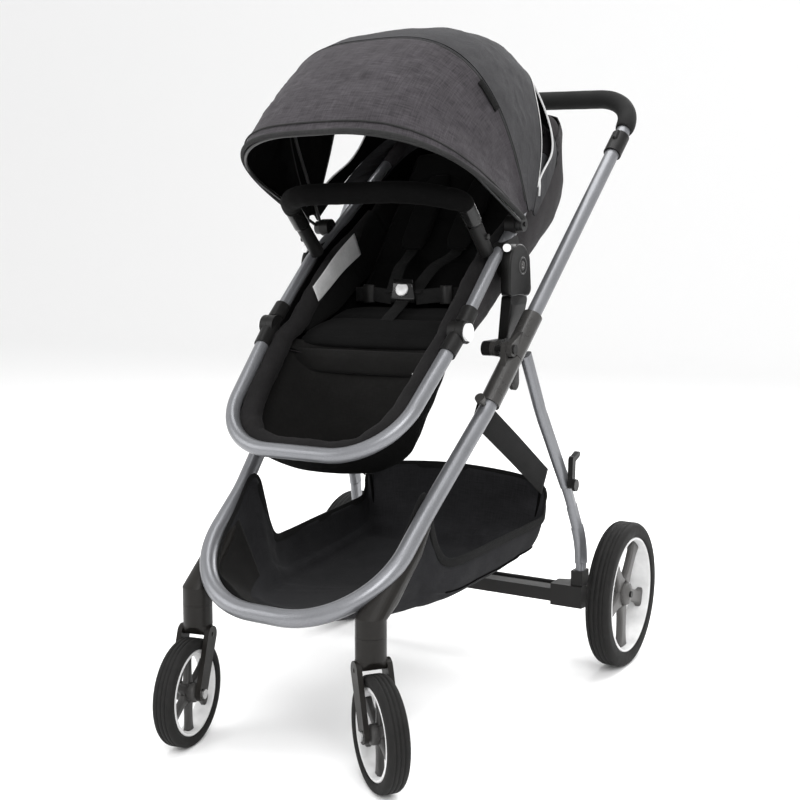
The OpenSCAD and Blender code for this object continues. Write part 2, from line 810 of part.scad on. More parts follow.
// A fabric panel between two bow angles: a thin closed shell over the bows.
module canopy_skin(a0, a1) {
    cols = 24;
    rows = 6;
    limit = 87;
    outer = [for (j = [0 : rows]) for (i = [0 : cols])
        bow_point(-limit + 2 * limit * i / cols, a0 + (a1 - a0) * j / rows, skin_t)];
    inner = [for (j = [0 : rows]) for (i = [0 : cols])
        bow_point(-limit + 2 * limit * i / cols, a0 + (a1 - a0) * j / rows, 0)];
    n = len(outer);
    w = cols + 1;
    top = [for (j = [0 : rows - 1]) for (i = [0 : cols - 1])
        let (k = j * w + i) each [[k, k + w, k + 1], [k + 1, k + w, k + w + 1]]];
    low = [for (f = top) [n + f[0], n + f[2], n + f[1]]];
    edge = concat([for (i = [0 : cols]) i], [for (j = [1 : rows]) j * w + cols],
        [for (i = [cols - 1 : -1 : 0]) rows * w + i], [for (j = [rows - 1 : -1 : 1]) j * w]);
    m = len(edge);
    rim = [for (e = [0 : m - 1])
        let (p = edge[e], q = edge[(e + 1) % m]) each [[p, q, n + p], [q, n + q, n + p]]];
    polyhedron(concat(outer, inner), concat(top, low, rim));
}

module canopy_front_panel() {
    color(CHARCOAL) placed() canopy_skin(front_bow_angle, middle_bow_angle - 1);
}

module canopy_rear_panel() {
    color(CHARCOAL) placed() canopy_skin(middle_bow_angle, rear_edge_angle);
}

// ---- Basket ------------------------------------------------------------------------------

module basket_form(inset, lift) {
    hull() {
        for (p = basket_points)
            for (s = [-1, 1])
                translate([s * (p[0] - inset), p[1] + inset * p[3], p[2] + (p[4] > 0 ? lift : inset)])
                    sphere(r = 4, $fn = 12);
    }
}

module basket() {
    color(CLOTH) placed() {
        difference() {
            basket_form(0, 0);
            basket_form(5, 60);
            plate(-260, 260) polygon([[214, 270], [526, 284], [534, 420], [190, 420]]);
        }
        both_sides() hull() {
            translate([180.5, 268, 500]) rotate([-32, 0, 0]) cube([3, 46, 3]);
            translate([180.5, 498, 362]) rotate([-32, 0, 0]) cube([3, 46, 3]);
        }
    }
}

front_frame_tube();
leg_castings();
caster_fork_left();
caster_fork_right();
front_tyre_left();
front_tyre_right();
front_rim_left();
front_rim_right();
front_axle_left();
front_axle_right();
frame_sleeves();
fold_pivot_pins();
accessory_stud();
handle_sleeves();
handle_tube();
foam_grip();
fold_trigger_left();
fold_trigger_right();
rear_leg_left();
rear_leg_right();
rear_hinge_plates();
rear_axle_beam();
rear_axle_shaft();
rear_tyre_left();
rear_tyre_right();
rear_rim_left();
rear_rim_right();
brake_pedal();
frame_latch();
latch_studs();
seat_posts();
seat_adapters();
recline_pivot_pins();
seat_release_button_left();
seat_release_button_right();
seat_frame_tube();
seat_hubs();
recline_lever();
footrest_hinge_housings();
footrest_sockets();
footrest_pivot_pins();
footrest_tube();
footrest_button_left();
footrest_button_right();
seat_shell();
seat_pad();
footwell_cover();
harness();
buckle_button();
armbar();
armbar_sockets();
armbar_button_left();
armbar_button_right();
canopy_mounts();
canopy_pivot_pins();
canopy_front_bow();
canopy_middle_bow();
canopy_front_panel();
canopy_rear_panel();
basket();
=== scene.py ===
"""Looks for the baby stroller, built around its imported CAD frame. Metres, +Z up, the stroller faces -Y."""
import json
import math

import bpy
import numpy as np
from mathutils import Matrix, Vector, noise


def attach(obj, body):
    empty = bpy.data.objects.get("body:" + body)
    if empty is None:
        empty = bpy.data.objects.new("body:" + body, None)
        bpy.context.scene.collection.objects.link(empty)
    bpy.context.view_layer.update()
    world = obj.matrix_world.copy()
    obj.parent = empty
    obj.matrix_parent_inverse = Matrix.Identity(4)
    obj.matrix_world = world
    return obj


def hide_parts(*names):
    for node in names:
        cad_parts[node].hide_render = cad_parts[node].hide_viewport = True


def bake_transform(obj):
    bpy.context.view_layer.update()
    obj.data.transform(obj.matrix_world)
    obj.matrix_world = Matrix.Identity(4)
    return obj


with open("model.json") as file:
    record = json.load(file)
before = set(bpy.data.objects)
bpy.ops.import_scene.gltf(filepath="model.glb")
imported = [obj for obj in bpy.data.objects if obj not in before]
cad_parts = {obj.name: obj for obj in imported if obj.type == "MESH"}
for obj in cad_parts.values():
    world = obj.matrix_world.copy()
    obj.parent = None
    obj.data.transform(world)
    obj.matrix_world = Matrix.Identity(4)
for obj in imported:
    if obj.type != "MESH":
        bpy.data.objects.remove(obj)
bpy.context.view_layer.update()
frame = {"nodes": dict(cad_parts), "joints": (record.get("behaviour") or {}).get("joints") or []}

NODES = frame["nodes"]
JOINTS = {j["name"]: j for j in frame["joints"]}
SWIVEL_Y = JOINTS["caster_swivel_left"]["pos_m"][1]
CANOPY_AXIS = np.array(JOINTS["canopy_middle_fold"]["pos_m"])
FOOTREST_AXIS = np.array(JOINTS["footrest_fold"]["pos_m"])
X, Y, Z = np.eye(3)
SIDES = (1, -1)
SIDE_NAME = {1: "left", -1: "right"}


def at(x, y, z):
    """A point given in millimetres with y measured from the front swivel axis, in the row frame."""
    return np.array([x / 1000, y / 1000 + SWIVEL_Y, z / 1000])


def unit(v):
    v = np.asarray(v, float)
    return v / np.linalg.norm(v)


def flip(p, s):
    """The point p for s = 1, or its mirror image for s = -1."""
    return np.array([p[0] * s, p[1], p[2]])


def signed_power(v, power):
    return math.copysign(abs(v) ** power, v)


# ---- Materials ---------------------------------------------------------------------------

class Shader:
    """A short way to write a Principled material's nodes."""

    def __init__(self, name, **settings):
        self.mat = bpy.data.materials.new(name)
        self.mat.use_nodes = True
        self.tree = self.mat.node_tree
        self.bsdf = self.tree.nodes["Principled BSDF"]
        for key, value in settings.items():
            socket = key.replace("_", " ")
            self.bsdf.inputs[socket].default_value = value
        self.space = self.add("ShaderNodeTexCoord")

    def add(self, kind, **values):
        node = self.tree.nodes.new(kind)
        for key, value in values.items():
            if hasattr(node, key):
                setattr(node, key, value)
            else:
                node.inputs[key.replace("_", " ")].default_value = value
        return node

    def link(self, a, b):
        self.tree.links.new(a, b)

    def coords(self, uv=False, scale=(1, 1, 1)):
        mapping = self.add("ShaderNodeMapping")
        mapping.inputs["Scale"].default_value = scale
        self.link(self.space.outputs["UV" if uv else "Object"], mapping.inputs["Vector"])
        return mapping.outputs["Vector"]

    def noise(self, size, detail=3.0, rough=0.55, uv=False, stretch=(1, 1, 1)):
        """Noise whose main features are about size metres across."""
        tex = self.add("ShaderNodeTexNoise", Scale=1 / size, Detail=detail, Roughness=rough)
        self.link(self.coords(uv, stretch), tex.inputs["Vector"])
        return tex.outputs["Fac"]

    def bands(self, size, axis):
        """A sine along one axis of the UVs, with a period of size metres."""
        wave = self.add("ShaderNodeTexWave", Scale=0.31416 / size, Distortion=0.0)
        wave.bands_direction = axis
        self.link(self.coords(uv=True), wave.inputs["Vector"])
        return wave.outputs["Fac"]

    def ramp(self, fac, low, high, a=0.0, b=1.0):
        """A colour between low and high as fac goes from a to b."""
        ramp = self.add("ShaderNodeValToRGB")
        ramp.color_ramp.elements[0].position = a
        ramp.color_ramp.elements[1].position = b
        ramp.color_ramp.elements[0].color = (*low, 1)
        ramp.color_ramp.elements[1].color = (*high, 1)
        self.link(fac, ramp.inputs["Fac"])
        return ramp.outputs["Color"]

    def span(self, fac, low, high, a=0.0, b=1.0):
        """A number between low and high as fac goes from a to b."""
        node = self.add("ShaderNodeMapRange")
        for key, value in (("From Min", a), ("From Max", b), ("To Min", low), ("To Max", high)):
            node.inputs[key].default_value = value
        self.link(fac, node.inputs["Value"])
        return node.outputs["Result"]

    def blend(self, mode, a, b, fac=1.0):
        node = self.add("ShaderNodeMix", data_type="RGBA")
        node.blend_type = mode
        node.inputs[0].default_value = fac
        self.link(a, node.inputs[6])
        self.link(b, node.inputs[7])
        return node.outputs[2]

    def sums(self, op, a, b):
        node = self.add("ShaderNodeMath", operation=op)
        for i, v in enumerate((a, b)):
            if isinstance(v, (int, float)):
                node.inputs[i].default_value = v
            else:
                self.link(v, node.inputs[i])
        return node.outputs[0]

    def colour(self, socket):
        self.link(socket, self.bsdf.inputs["Base Color"])
        return self

    def rough(self, socket):
        self.link(socket, self.bsdf.inputs["Roughness"])
        return self

    def bump(self, height, depth, strength=1.0):
        """Relief depth metres deep; calls add up."""
        node = self.add("ShaderNodeBump", Strength=strength, Distance=depth)
        self.link(height, node.inputs["Height"])
        last = self.bsdf.inputs["Normal"]
        if last.is_linked:
            self.link(last.links[0].from_socket, node.inputs["Normal"])
        self.link(node.outputs["Normal"], last)
        return self


def grey(v, warm=0.0):
    return (v * (1 + warm), v, v * (1 - warm))


def painted_tube():
    """Silver paint with a fine fleck."""
    s = Shader("painted_tube", Metallic=0.55, Specular_IOR_Level=0.5)
    fleck = s.noise(0.0009, detail=1.0)
    cloud = s.noise(0.05, detail=2.0)
    s.colour(s.blend("MULTIPLY", s.ramp(fleck, (0.15, 0.153, 0.163), (0.21, 0.214, 0.226), 0.3, 0.7),
                     s.ramp(cloud, grey(0.92), grey(1.0), 0.3, 0.7)))
    s.rough(s.span(cloud, 0.30, 0.38, 0.3, 0.7))
    return s.bump(s.noise(0.0022, detail=2.0), 0.00006).mat


def plastic(name, value, roughness, grain=0.0011, relief=0.00009, warm=0.0, coat=0.0, specular=0.28):
    s = Shader(name, Coat_Weight=coat, Specular_IOR_Level=specular)
    cloud = s.noise(0.03, detail=4.0)
    s.colour(s.ramp(cloud, grey(value * 0.88, warm), grey(value * 1.12, warm), 0.3, 0.7))
    s.rough(s.span(cloud, roughness - 0.05, roughness + 0.06, 0.3, 0.7))
    return s.bump(s.noise(grain, detail=2.0), relief).mat


def foam(name, value):
    s = Shader(name, Specular_IOR_Level=0.15)
    cell = s.noise(0.0013, detail=3.0, rough=0.7)
    cloud = s.noise(0.035)
    s.colour(s.blend("MULTIPLY", s.ramp(cell, grey(value * 0.7), grey(value * 1.3), 0.3, 0.7),
                     s.ramp(cloud, grey(0.85), grey(1.0), 0.3, 0.7)))
    s.rough(s.span(cloud, 0.72, 0.88, 0.3, 0.7))
    return s.bump(cell, 0.00022).mat


def rubber(name, value):
    s = Shader(name, Specular_IOR_Level=0.14)
    dust = s.noise(0.012, detail=5.0, rough=0.65)
    cloud = s.noise(0.05, detail=3.0)
    s.colour(s.blend("MULTIPLY", s.ramp(dust, grey(value * 0.75, 0.02), grey(value * 1.5, 0.03), 0.35, 0.75),
                     s.ramp(cloud, grey(0.8), grey(1.0), 0.3, 0.7)))
    s.rough(s.span(dust, 0.62, 0.85, 0.3, 0.7))
    return s.bump(s.noise(0.0012, detail=2.0), 0.00012).mat


def metal(name, value, roughness):
    s = Shader(name, Metallic=1.0)
    streak = s.noise(0.0012, detail=2.0, stretch=(0.15, 1, 1))
    s.colour(s.ramp(streak, grey(value * 0.85), grey(value * 1.08), 0.3, 0.7))
    s.rough(s.span(streak, roughness - 0.05, roughness + 0.08, 0.3, 0.7))
    return s.bump(streak, 0.00003).mat


def cloth(name, dark, light, thread=0.0011, relief=0.00016, slub=0.006, sheen=0.03, warm=0.0, tint=(1, 1, 1),
          specular=0.06):
    """Woven cloth on UVs in metres: warp and weft, uneven threads and a mottled shade."""
    s = Shader(name, Sheen_Weight=sheen, Sheen_Roughness=0.45, Specular_IOR_Level=specular)
    warp = s.bands(thread, "X")
    weft = s.bands(thread, "Y")
    weave = s.sums("MULTIPLY", s.sums("ADD", warp, weft), 0.5)
    warp_slub = s.noise(slub, detail=3.0, uv=True, stretch=(6, 0.5, 1))
    weft_slub = s.noise(slub, detail=3.0, uv=True, stretch=(0.5, 6, 1))
    heather = s.sums("MULTIPLY", s.sums("ADD", warp_slub, weft_slub), 0.5)
    tone = s.ramp(heather, tuple(c * t for c, t in zip(grey(dark, warm), tint)),
                  tuple(c * t for c, t in zip(grey(light, warm), tint)), 0.36, 0.64)
    shade = s.ramp(s.noise(0.045, detail=4.0), grey(0.78), grey(1.0), 0.3, 0.7)
    gaps = s.ramp(weave, grey(0.72), grey(1.0), 0.1, 0.6)
    s.colour(s.blend("MULTIPLY", s.blend("MULTIPLY", tone, shade), gaps, 0.8))
    s.rough(s.span(heather, 0.78, 0.95, 0.3, 0.7))
    s.bump(s.noise(0.03, detail=4.0), 0.0010, 0.5)
    s.bump(heather, relief)
    return s.bump(weave, relief).mat


def webbing(name, value):
    s = Shader(name, Sheen_Weight=0.03, Specular_IOR_Level=0.12)
    rib = s.bands(0.0021, "Y")
    cord = s.bands(0.0012, "X")
    s.colour(s.ramp(s.sums("MULTIPLY", rib, cord), grey(value * 0.6), grey(value * 1.35), 0.1, 0.8))
    s.rough(s.span(s.noise(0.01), 0.6, 0.75, 0.3, 0.7))
    return s.bump(rib, 0.00022).bump(cord, 0.0001).mat


MATERIALS = {
    "tube": painted_tube(),
    "castings": plastic("casting_plastic", 0.0095, 0.34, warm=0.10, specular=0.16),
    "black": plastic("black_plastic", 0.008, 0.40, warm=0.02, specular=0.16),
    "sleeve": plastic("sleeve_plastic", 0.030, 0.30, warm=0.04, grain=0.0016, specular=0.4),
    "gloss": plastic("gloss_black_plastic", 0.006, 0.24, relief=0.00003, coat=0.15),
    "beam": plastic("beam_plastic", 0.007, 0.45, warm=0.05),
    "bow": plastic("bow_coating", 0.012, 0.4),
    "white": plastic("white_button_plastic", 0.74, 0.3, relief=0.00003, coat=0.2),
    "rim_white": plastic("rim_white_plastic", 0.62, 0.38, relief=0.00004, coat=0.1),
    "spoke_front": plastic("spoke_dark_plastic", 0.032, 0.4, warm=0.03),
    "spoke_rear": plastic("spoke_grey_plastic", 0.065, 0.42, warm=0.03),
    "emblem": plastic("emblem_plastic", 0.035, 0.3, relief=0.00003),
    "steel": metal("brushed_steel", 0.55, 0.3),
    "tyre": rubber("tyre_rubber", 0.0115),
    "grip": foam("grip_foam", 0.0105),
    "bar": cloth("bar_cover_cloth", 0.0014, 0.0032, thread=0.0008, relief=0.0001, sheen=0.01, specular=0.04),
    "canopy": cloth("canopy_cloth", 0.026, 0.060, tint=(1.05, 0.96, 1.06), slub=0.012, sheen=0.05),
    "welt": cloth("canopy_seam_tape", 0.020, 0.036, thread=0.0009),
    "canopy_back": cloth("canopy_rear_cloth", 0.025, 0.046, tint=(0.995, 0.985, 1.05), sheen=0.04),
    "lining": cloth("dark_lining_cloth", 0.0022, 0.0040, thread=0.0007, sheen=0.0, specular=0.02),
    "binding": cloth("binding_tape", 0.007, 0.012, thread=0.0009, relief=0.0002),
    "piping": cloth("pale_piping", 0.42, 0.60, thread=0.0009),
    "shell": cloth("shell_cloth", 0.016, 0.034, tint=(1.05, 0.96, 1.02)),
    "rim_roll": cloth("rim_roll_cloth", 0.008, 0.016, tint=(1.03, 0.98, 1.01)),
    "pad": cloth("pad_cloth", 0.0040, 0.0085, thread=0.0009, sheen=0.015),
    "flap": cloth("flap_cloth", 0.0070, 0.0130, thread=0.0009, warm=0.03),
    "basket": cloth("basket_cloth", 0.0145, 0.024, thread=0.0016, relief=0.0001, slub=0.01,
                    tint=(0.98, 0.98, 1.06)),
    "label": cloth("blank_label", 0.62, 0.78, thread=0.0008, sheen=0.0),
    "label_black": cloth("blank_black_tag", 0.004, 0.006, thread=0.0006, sheen=0.0),
    "webbing": webbing("harness_webbing", 0.0045),
}


# ---- Mesh building -----------------------------------------------------------------------

def mesh_object(name, verts, faces, materials, uvs):
    """A smooth-shaded mesh; uvs is one (u, v) per face corner, in metres."""
    mesh = bpy.data.meshes.new(name)
    mesh.from_pydata([tuple(map(float, v)) for v in verts], [], [tuple(map(int, f)) for f in faces])
    for m in materials:
        mesh.materials.append(MATERIALS[m])
    layer = mesh.uv_layers.new(name="UVMap")
    layer.data.foreach_set("uv", np.asarray(uvs, np.float32).ravel())
    mesh.update()
    mesh.polygons.foreach_set("use_smooth", [True] * len(mesh.polygons))
    obj = bpy.data.objects.new(name, mesh)
    bpy.context.scene.collection.objects.link(obj)
    return obj


def place(obj, body, replaces=()):
    """Fixes a piece to its body. A piece that bends between two bodies has none of its own."""
    if body:
        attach(obj, body)
    if replaces:
        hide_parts(*replaces)
    return obj


def apply_modifiers(obj):
    """Bakes the object's modifiers into its mesh."""
    deps = bpy.context.evaluated_depsgraph_get()
    mesh = bpy.data.meshes.new_from_object(obj.evaluated_get(deps))
    old = obj.data
    obj.modifiers.clear()
    obj.data = mesh
    bpy.data.meshes.remove(old)
    return obj


def grid(name, points, material, wrap_u=False, wrap_v=False, thickness=0.0, back=None):
    """A surface through points[i][j], with UVs that follow its lengths; back is its other face's material."""
    p = np.asarray(points, float)
    nu, nv = p.shape[:2]
    nodes_u = np.concatenate([p, p[:1]]) if wrap_u else p
    nodes = np.concatenate([nodes_u, nodes_u[:, :1]], axis=1) if wrap_v else nodes_u
    du = np.linalg.norm(np.diff(nodes, axis=0), axis=2).mean(1)
    dv = np.linalg.norm(np.diff(nodes, axis=1), axis=2).mean(0)
    u = np.concatenate([[0], np.cumsum(du)])
    v = np.concatenate([[0], np.cumsum(dv)])
    faces, uvs = [], []
    for i in range(nu if wrap_u else nu - 1):
        for j in range(nv if wrap_v else nv - 1):
            a, b = (i + 1) % nu, (j + 1) % nv
            faces.append((i * nv + j, a * nv + j, a * nv + b, i * nv + b))
            uvs += [(u[i], v[j]), (u[i + 1], v[j]), (u[i + 1], v[j + 1]), (u[i], v[j + 1])]
    obj = mesh_object(name, p.reshape(-1, 3), faces, [material] if back is None else [material, back], uvs)
    if thickness:
        solid = obj.modifiers.new("thickness", "SOLIDIFY")
        solid.thickness = thickness
        solid.offset = -1
        solid.use_even_offset = False
        if back is not None:
            solid.material_offset = 1
        apply_modifiers(obj)
    return obj


def resample(points, step):
    """Points spaced evenly, about step metres apart, along a polyline."""
    p = np.asarray(points, float)
    length = np.concatenate([[0], np.cumsum(np.linalg.norm(np.diff(p, axis=0), axis=1))])
    count = max(2, int(round(length[-1] / step)) + 1)
    t = np.linspace(0, length[-1], count)
    return np.stack([np.interp(t, length, p[:, k]) for k in range(3)], axis=1)


def curve(points, per_span=12, closed=False):
    """A Catmull-Rom curve through points."""
    p = np.asarray(points, float)
    if closed:
        p = np.vstack([p[-1:], p, p[:2]])
    else:
        p = np.vstack([2 * p[0] - p[1], p, 2 * p[-1] - p[-2]])
    out = []
    for i in range(1, len(p) - 2):
        for t in np.linspace(0, 1, per_span, endpoint=False):
            a, b, c, d = p[i - 1:i + 3]
            out.append(0.5 * ((2 * b) + (c - a) * t + (2 * a - 5 * b + 4 * c - d) * t * t
                              + (3 * b - a - 3 * c + d) * t ** 3))
    if not closed:
        out.append(p[-2])
    return np.array(out)


def filleted(points, bends, step=0.006):
    """Straight runs joined by round bends, as the CAD tubes are."""
    p = [np.asarray(q, float) for q in points]
    out = [p[0]]
    for i in range(1, len(p) - 1):
        u, w = unit(p[i - 1] - p[i]), unit(p[i + 1] - p[i])
        angle = math.acos(max(-1, min(1, float(u @ w))))
        r = bends[i - 1]
        run = r / math.tan(angle / 2)
        centre = p[i] + unit(u + w) * r / math.sin(angle / 2)
        x = unit(p[i] + u * run - centre)
        z = unit(np.cross(x, p[i] + w * run - centre))
        y = np.cross(z, x)
        turn = math.pi - angle
        for t in np.linspace(0, turn, max(3, int(r * turn / step) + 1)):
            out.append(centre + r * (x * math.cos(t) + y * math.sin(t)))
    out.append(p[-1])
    return np.array(out)


def frames_along(path, up, closed=False):
    """Tangent, side and up at each point; up stays as near to the given direction as it can."""
    p = np.asarray(path, float)
    if closed:
        t = np.roll(p, -1, 0) - np.roll(p, 1, 0)
    else:
        t = np.gradient(p, axis=0)
    t /= np.linalg.norm(t, axis=1)[:, None]
    ups = np.broadcast_to(np.asarray(up, float), p.shape)
    n = ups - (ups * t).sum(1)[:, None] * t
    n /= np.maximum(np.linalg.norm(n, axis=1)[:, None], 1e-9)
    return t, np.cross(t, n), n


def sweep(name, path, profile, material, up=(0, 0, 1), closed=False, scale=None):
    """A closed profile of (side, up) points carried along a path; scale(t) gives (side, up) factors."""
    p = np.asarray(path, float)
    _, side, normal = frames_along(p, up, closed)
    prof = np.asarray(profile, float)
    rings = []
    for i in range(len(p)):
        a, b = scale(i / (len(p) - 1)) if scale else (1, 1)
        rings.append(p[i] + np.outer(prof[:, 0] * a, side[i]) + np.outer(prof[:, 1] * b, normal[i]))
    obj = grid(name, rings, material, wrap_u=closed, wrap_v=True)
    if not closed:
        cap_ends(obj, len(p), len(prof))
    return obj


def cap_ends(obj, rings, per_ring):
    """Closes a swept tube with a small rounded fan at each end."""
    mesh = obj.data
    verts = [tuple(v.co) for v in mesh.vertices]
    faces = [tuple(f.vertices) for f in mesh.polygons]
    uv = mesh.uv_layers[0].data
    uvs = [tuple(uv[k].uv) for f in mesh.polygons for k in f.loop_indices]
    for first, turn in ((0, 1), ((rings - 1) * per_ring, -1)):
        ring = [first + k for k in range(per_ring)]
        centre = np.mean([verts[k] for k in ring], axis=0)
        verts.append(tuple(centre))
        c = len(verts) - 1
        for k in range(per_ring):
            a, b = ring[k], ring[(k + 1) % per_ring]
            faces.append((a, b, c) if turn > 0 else (b, a, c))
            uvs += [(0, 0), (0.004, 0), (0.002, 0.004)]
    new = bpy.data.meshes.new(obj.name)
    new.from_pydata(verts, [], faces)
    for m in mesh.materials:
        new.materials.append(m)
    new.uv_layers.new(name="UVMap").data.foreach_set("uv", np.asarray(uvs, np.float32).ravel())
    new.polygons.foreach_set("use_smooth", [len(f) == 4 for f in faces])
    new.update()
    obj.data = new
    return obj


def circle(r, n=20, squash=1.0):
    t = np.linspace(0, 2 * math.pi, n, endpoint=False)
    return np.stack([r * np.cos(t), r * squash * np.sin(t)], axis=1)


def rounded(w, h, r, n=5):
    """A rectangle w by h with corners of radius r, as (side, up) points."""
    out = []
    for cx, cy, a0 in ((1, 1, 0), (-1, 1, 90), (-1, -1, 180), (1, -1, 270)):
        for a in np.radians(np.linspace(a0, a0 + 90, n)):
            out.append((cx * (w / 2 - r) + r * math.cos(a), cy * (h / 2 - r) + r * math.sin(a)))
    return np.array(out)


def lathe(name, profile, centre, axis, material, segments=96):
    """A profile of (radius, along) points turned about an axis through centre."""
    axis = unit(axis)
    x = unit(np.cross(axis, Z if abs(axis[2]) < 0.9 else X))
    y = np.cross(axis, x)
    prof = np.asarray(profile, float)
    rows = []
    for t in np.linspace(0, 2 * math.pi, segments, endpoint=False):
        d = x * math.cos(t) + y * math.sin(t)
        rows.append([np.asarray(centre) + d * r + axis * h for r, h in prof])
    return grid(name, rows, material, wrap_u=True, wrap_v=True)


def join(name, objects):
    """Joins meshes into one object, keeping each one's materials."""
    mesh = bpy.data.meshes.new(name)
    verts, faces, uvs, mats, index, smooth = [], [], [], [], [], []
    for o in objects:
        base = len(verts)
        verts += [tuple(v.co) for v in o.data.vertices]
        slots = []
        for m in o.data.materials:
            if m not in mats:
                mats.append(m)
            slots.append(mats.index(m))
        layer = o.data.uv_layers[0].data if o.data.uv_layers else None
        for f in o.data.polygons:
            faces.append([base + k for k in f.vertices])
            index.append(slots[f.material_index])
            smooth.append(f.use_smooth)
            uvs += [tuple(layer[k].uv) if layer else (0, 0) for k in f.loop_indices]
    mesh.from_pydata(verts, [], faces)
    for m in mats:
        mesh.materials.append(m)
    mesh.uv_layers.new(name="UVMap").data.foreach_set("uv", np.asarray(uvs, np.float32).ravel())
    mesh.polygons.foreach_set("material_index", index)
    mesh.polygons.foreach_set("use_smooth", smooth)
    mesh.update()
    for o in objects:
        bpy.data.objects.remove(o)
    out = bpy.data.objects.new(name, mesh)
    bpy.context.scene.collection.objects.link(out)
    return out


def ripple(p, size, seed=0.0):
    """Smooth noise between -1 and 1 with features about size metres across."""
    return noise.noise(Vector(np.asarray(p) / size + seed))


def soften(x):
    return x * x * (3 - 2 * x)


# ---- CAD nodes that stay, with their finishes -------------------------------------------------

FINISH = {
    "tube": ["front_frame_tube", "handle_tube", "rear_leg_left", "rear_leg_right", "seat_frame_tube",
             "footrest_tube"],
    "castings": ["leg_castings", "caster_fork_left", "caster_fork_right"],
    "sleeve": ["frame_sleeves", "handle_sleeves", "rear_hinge_plates", "accessory_stud"],
    "beam": ["rear_axle_beam", "brake_pedal"],
    "bow": ["canopy_front_bow", "canopy_middle_bow"],
    "steel": ["front_axle_left", "front_axle_right"],
    "black": ["rear_axle_shaft", "fold_pivot_pins", "recline_pivot_pins", "canopy_pivot_pins",
              "footrest_pivot_pins", "latch_studs"],
    "white": ["seat_release_button_left", "seat_release_button_right", "footrest_button_left",
              "footrest_button_right"],
}
finish_of = {node: key for key, names in FINISH.items() for node in names}
for node, obj in NODES.items():
    for material_slot in obj.material_slots:
        material_slot.material = MATERIALS[finish_of.get(node, "black")]


# ---- Wheels ----------------------------------------------------------------------------------

def tyre_profile(outer, inner, half, grooves):
    """One closed section: rounded shoulders, bead edges and grooves round the tread, in metres."""
    soft = half * 0.5
    right = [(inner, half - 0.004), (inner + 0.0015, half - 0.0015), (inner + 0.005, half)]
    for a in np.radians(np.linspace(0, 80, 9)):
        right.append((outer - soft * 0.9 * (1 - math.sin(a)), half - soft * (1 - math.cos(a))))
    tread = []
    for g in sorted(grooves, reverse=True):
        tread += [(outer, g + 0.0011), (outer - 0.0013, g + 0.0005), (outer - 0.0013, g - 0.0005),
                  (outer, g - 0.0011)]
    left = [(r, -h) for r, h in reversed(right)]
    return right + tread + left


def rim_profile(outer, wall, half):
    """The barrel: a lip at each edge and a shallow waist."""
    inside = [(outer - 0.004, half + 0.0005), (outer - wall, half - 0.0025),
              (outer - wall - 0.001, half * 0.6), (outer - wall - 0.0016, 0.0)]
    return ([(outer - 0.0002, -half + 0.001), (outer - 0.0002, half - 0.001)] + inside
            + [(r, -h) for r, h in reversed(inside[:-1])])


SPOKE_FLARE = 0.55


def spoke(centre, axis, angle, start, end, width, depth, material):
    """One moulded spoke, wider at its ends, with softened edges."""
    axis = unit(axis)
    x = unit(np.cross(axis, Z))
    y = np.cross(axis, x)
    out = x * math.cos(angle) + y * math.sin(angle)
    path = [centre + out * (start + (end - start) * t) for t in np.linspace(0, 1, 13)]
    return sweep("spoke", path, rounded(width, depth, min(width, depth) * 0.3, 4), material, up=axis,
                 scale=lambda t: (1 + SPOKE_FLARE * ((2 * t - 1) ** 4 + 0.3 * (2 * t - 1) ** 2), 1))


def wheel(which, s, outer, rim, half, spokes, spoke_w, spoke_t, spoke_material, hub_r, hub_half, grooves):
    """One wheel: a tyre and a rim with its barrel, hub and spokes. outer and rim are radii, in metres."""
    joint = JOINTS[f"{which}_wheel_spin_{SIDE_NAME[s]}"]
    centre, axis = np.array(joint["pos_m"]), unit(joint["axis"])
    if axis[0] * s < 0:
        axis = -axis
    body = f"{which}_wheel_{SIDE_NAME[s]}"
    name = f"{which}_{{}}_{SIDE_NAME[s]}_look"
    tyre = lathe(name.format("tyre"), tyre_profile(outer, rim, half, grooves), centre, axis, "tyre", 144)
    place(tyre, body, [f"{which}_tyre_{SIDE_NAME[s]}"])
    barrel = lathe("barrel", rim_profile(rim, 0.0042, half - 0.0022), centre, axis, "rim_white", 128)
    hub = [(0.0, -hub_half), (hub_r * 0.55, -hub_half), (hub_r * 0.62, -hub_half + 0.002),
           (hub_r * 0.93, -hub_half + 0.003), (hub_r, -hub_half + 0.006)]
    hub = hub + [(r, -h) for r, h in reversed(hub)]
    parts = [barrel, lathe("hub", hub, centre, axis, spoke_material, 64)]
    for k in range(spokes):
        angle = 2 * math.pi * k / spokes + math.pi / 2
        parts.append(spoke(centre, axis, angle, hub_r - 0.002, rim - 0.0048, spoke_w, spoke_t,
                           spoke_material))
    place(join(name.format("rim"), parts), body, [f"{which}_rim_{SIDE_NAME[s]}"])


for s in SIDES:
    wheel("front", s, 0.083, 0.066, 0.0165, 6, 0.0125, 0.011, "spoke_front", 0.015, 0.0185,
          [0.0, 0.0065, -0.0065])
    wheel("rear", s, 0.133, 0.106, 0.022, 5, 0.023, 0.013, "spoke_rear", 0.021, 0.0165,
          [0.0045, -0.0045, 0.012, -0.012])


# ---- Canopy ----------------------------------------------------------------------------------

# Angles round the canopy's pivot, in degrees up from straight ahead.
FRONT_BOW, MIDDLE_BOW, REAR_EDGE = 22.0, 62.0, 133.0
HOOD_HALF_WIDTH = 0.2165
HOOD_ROUNDNESS = 3.2
# Angles round the pivot, and how far the hood's middle is from it at each.
HOOD_REACH = ([22, 62, 80, 100, 118, 133], [0.3470, 0.3250, 0.3270, 0.3290, 0.3160, 0.2970])


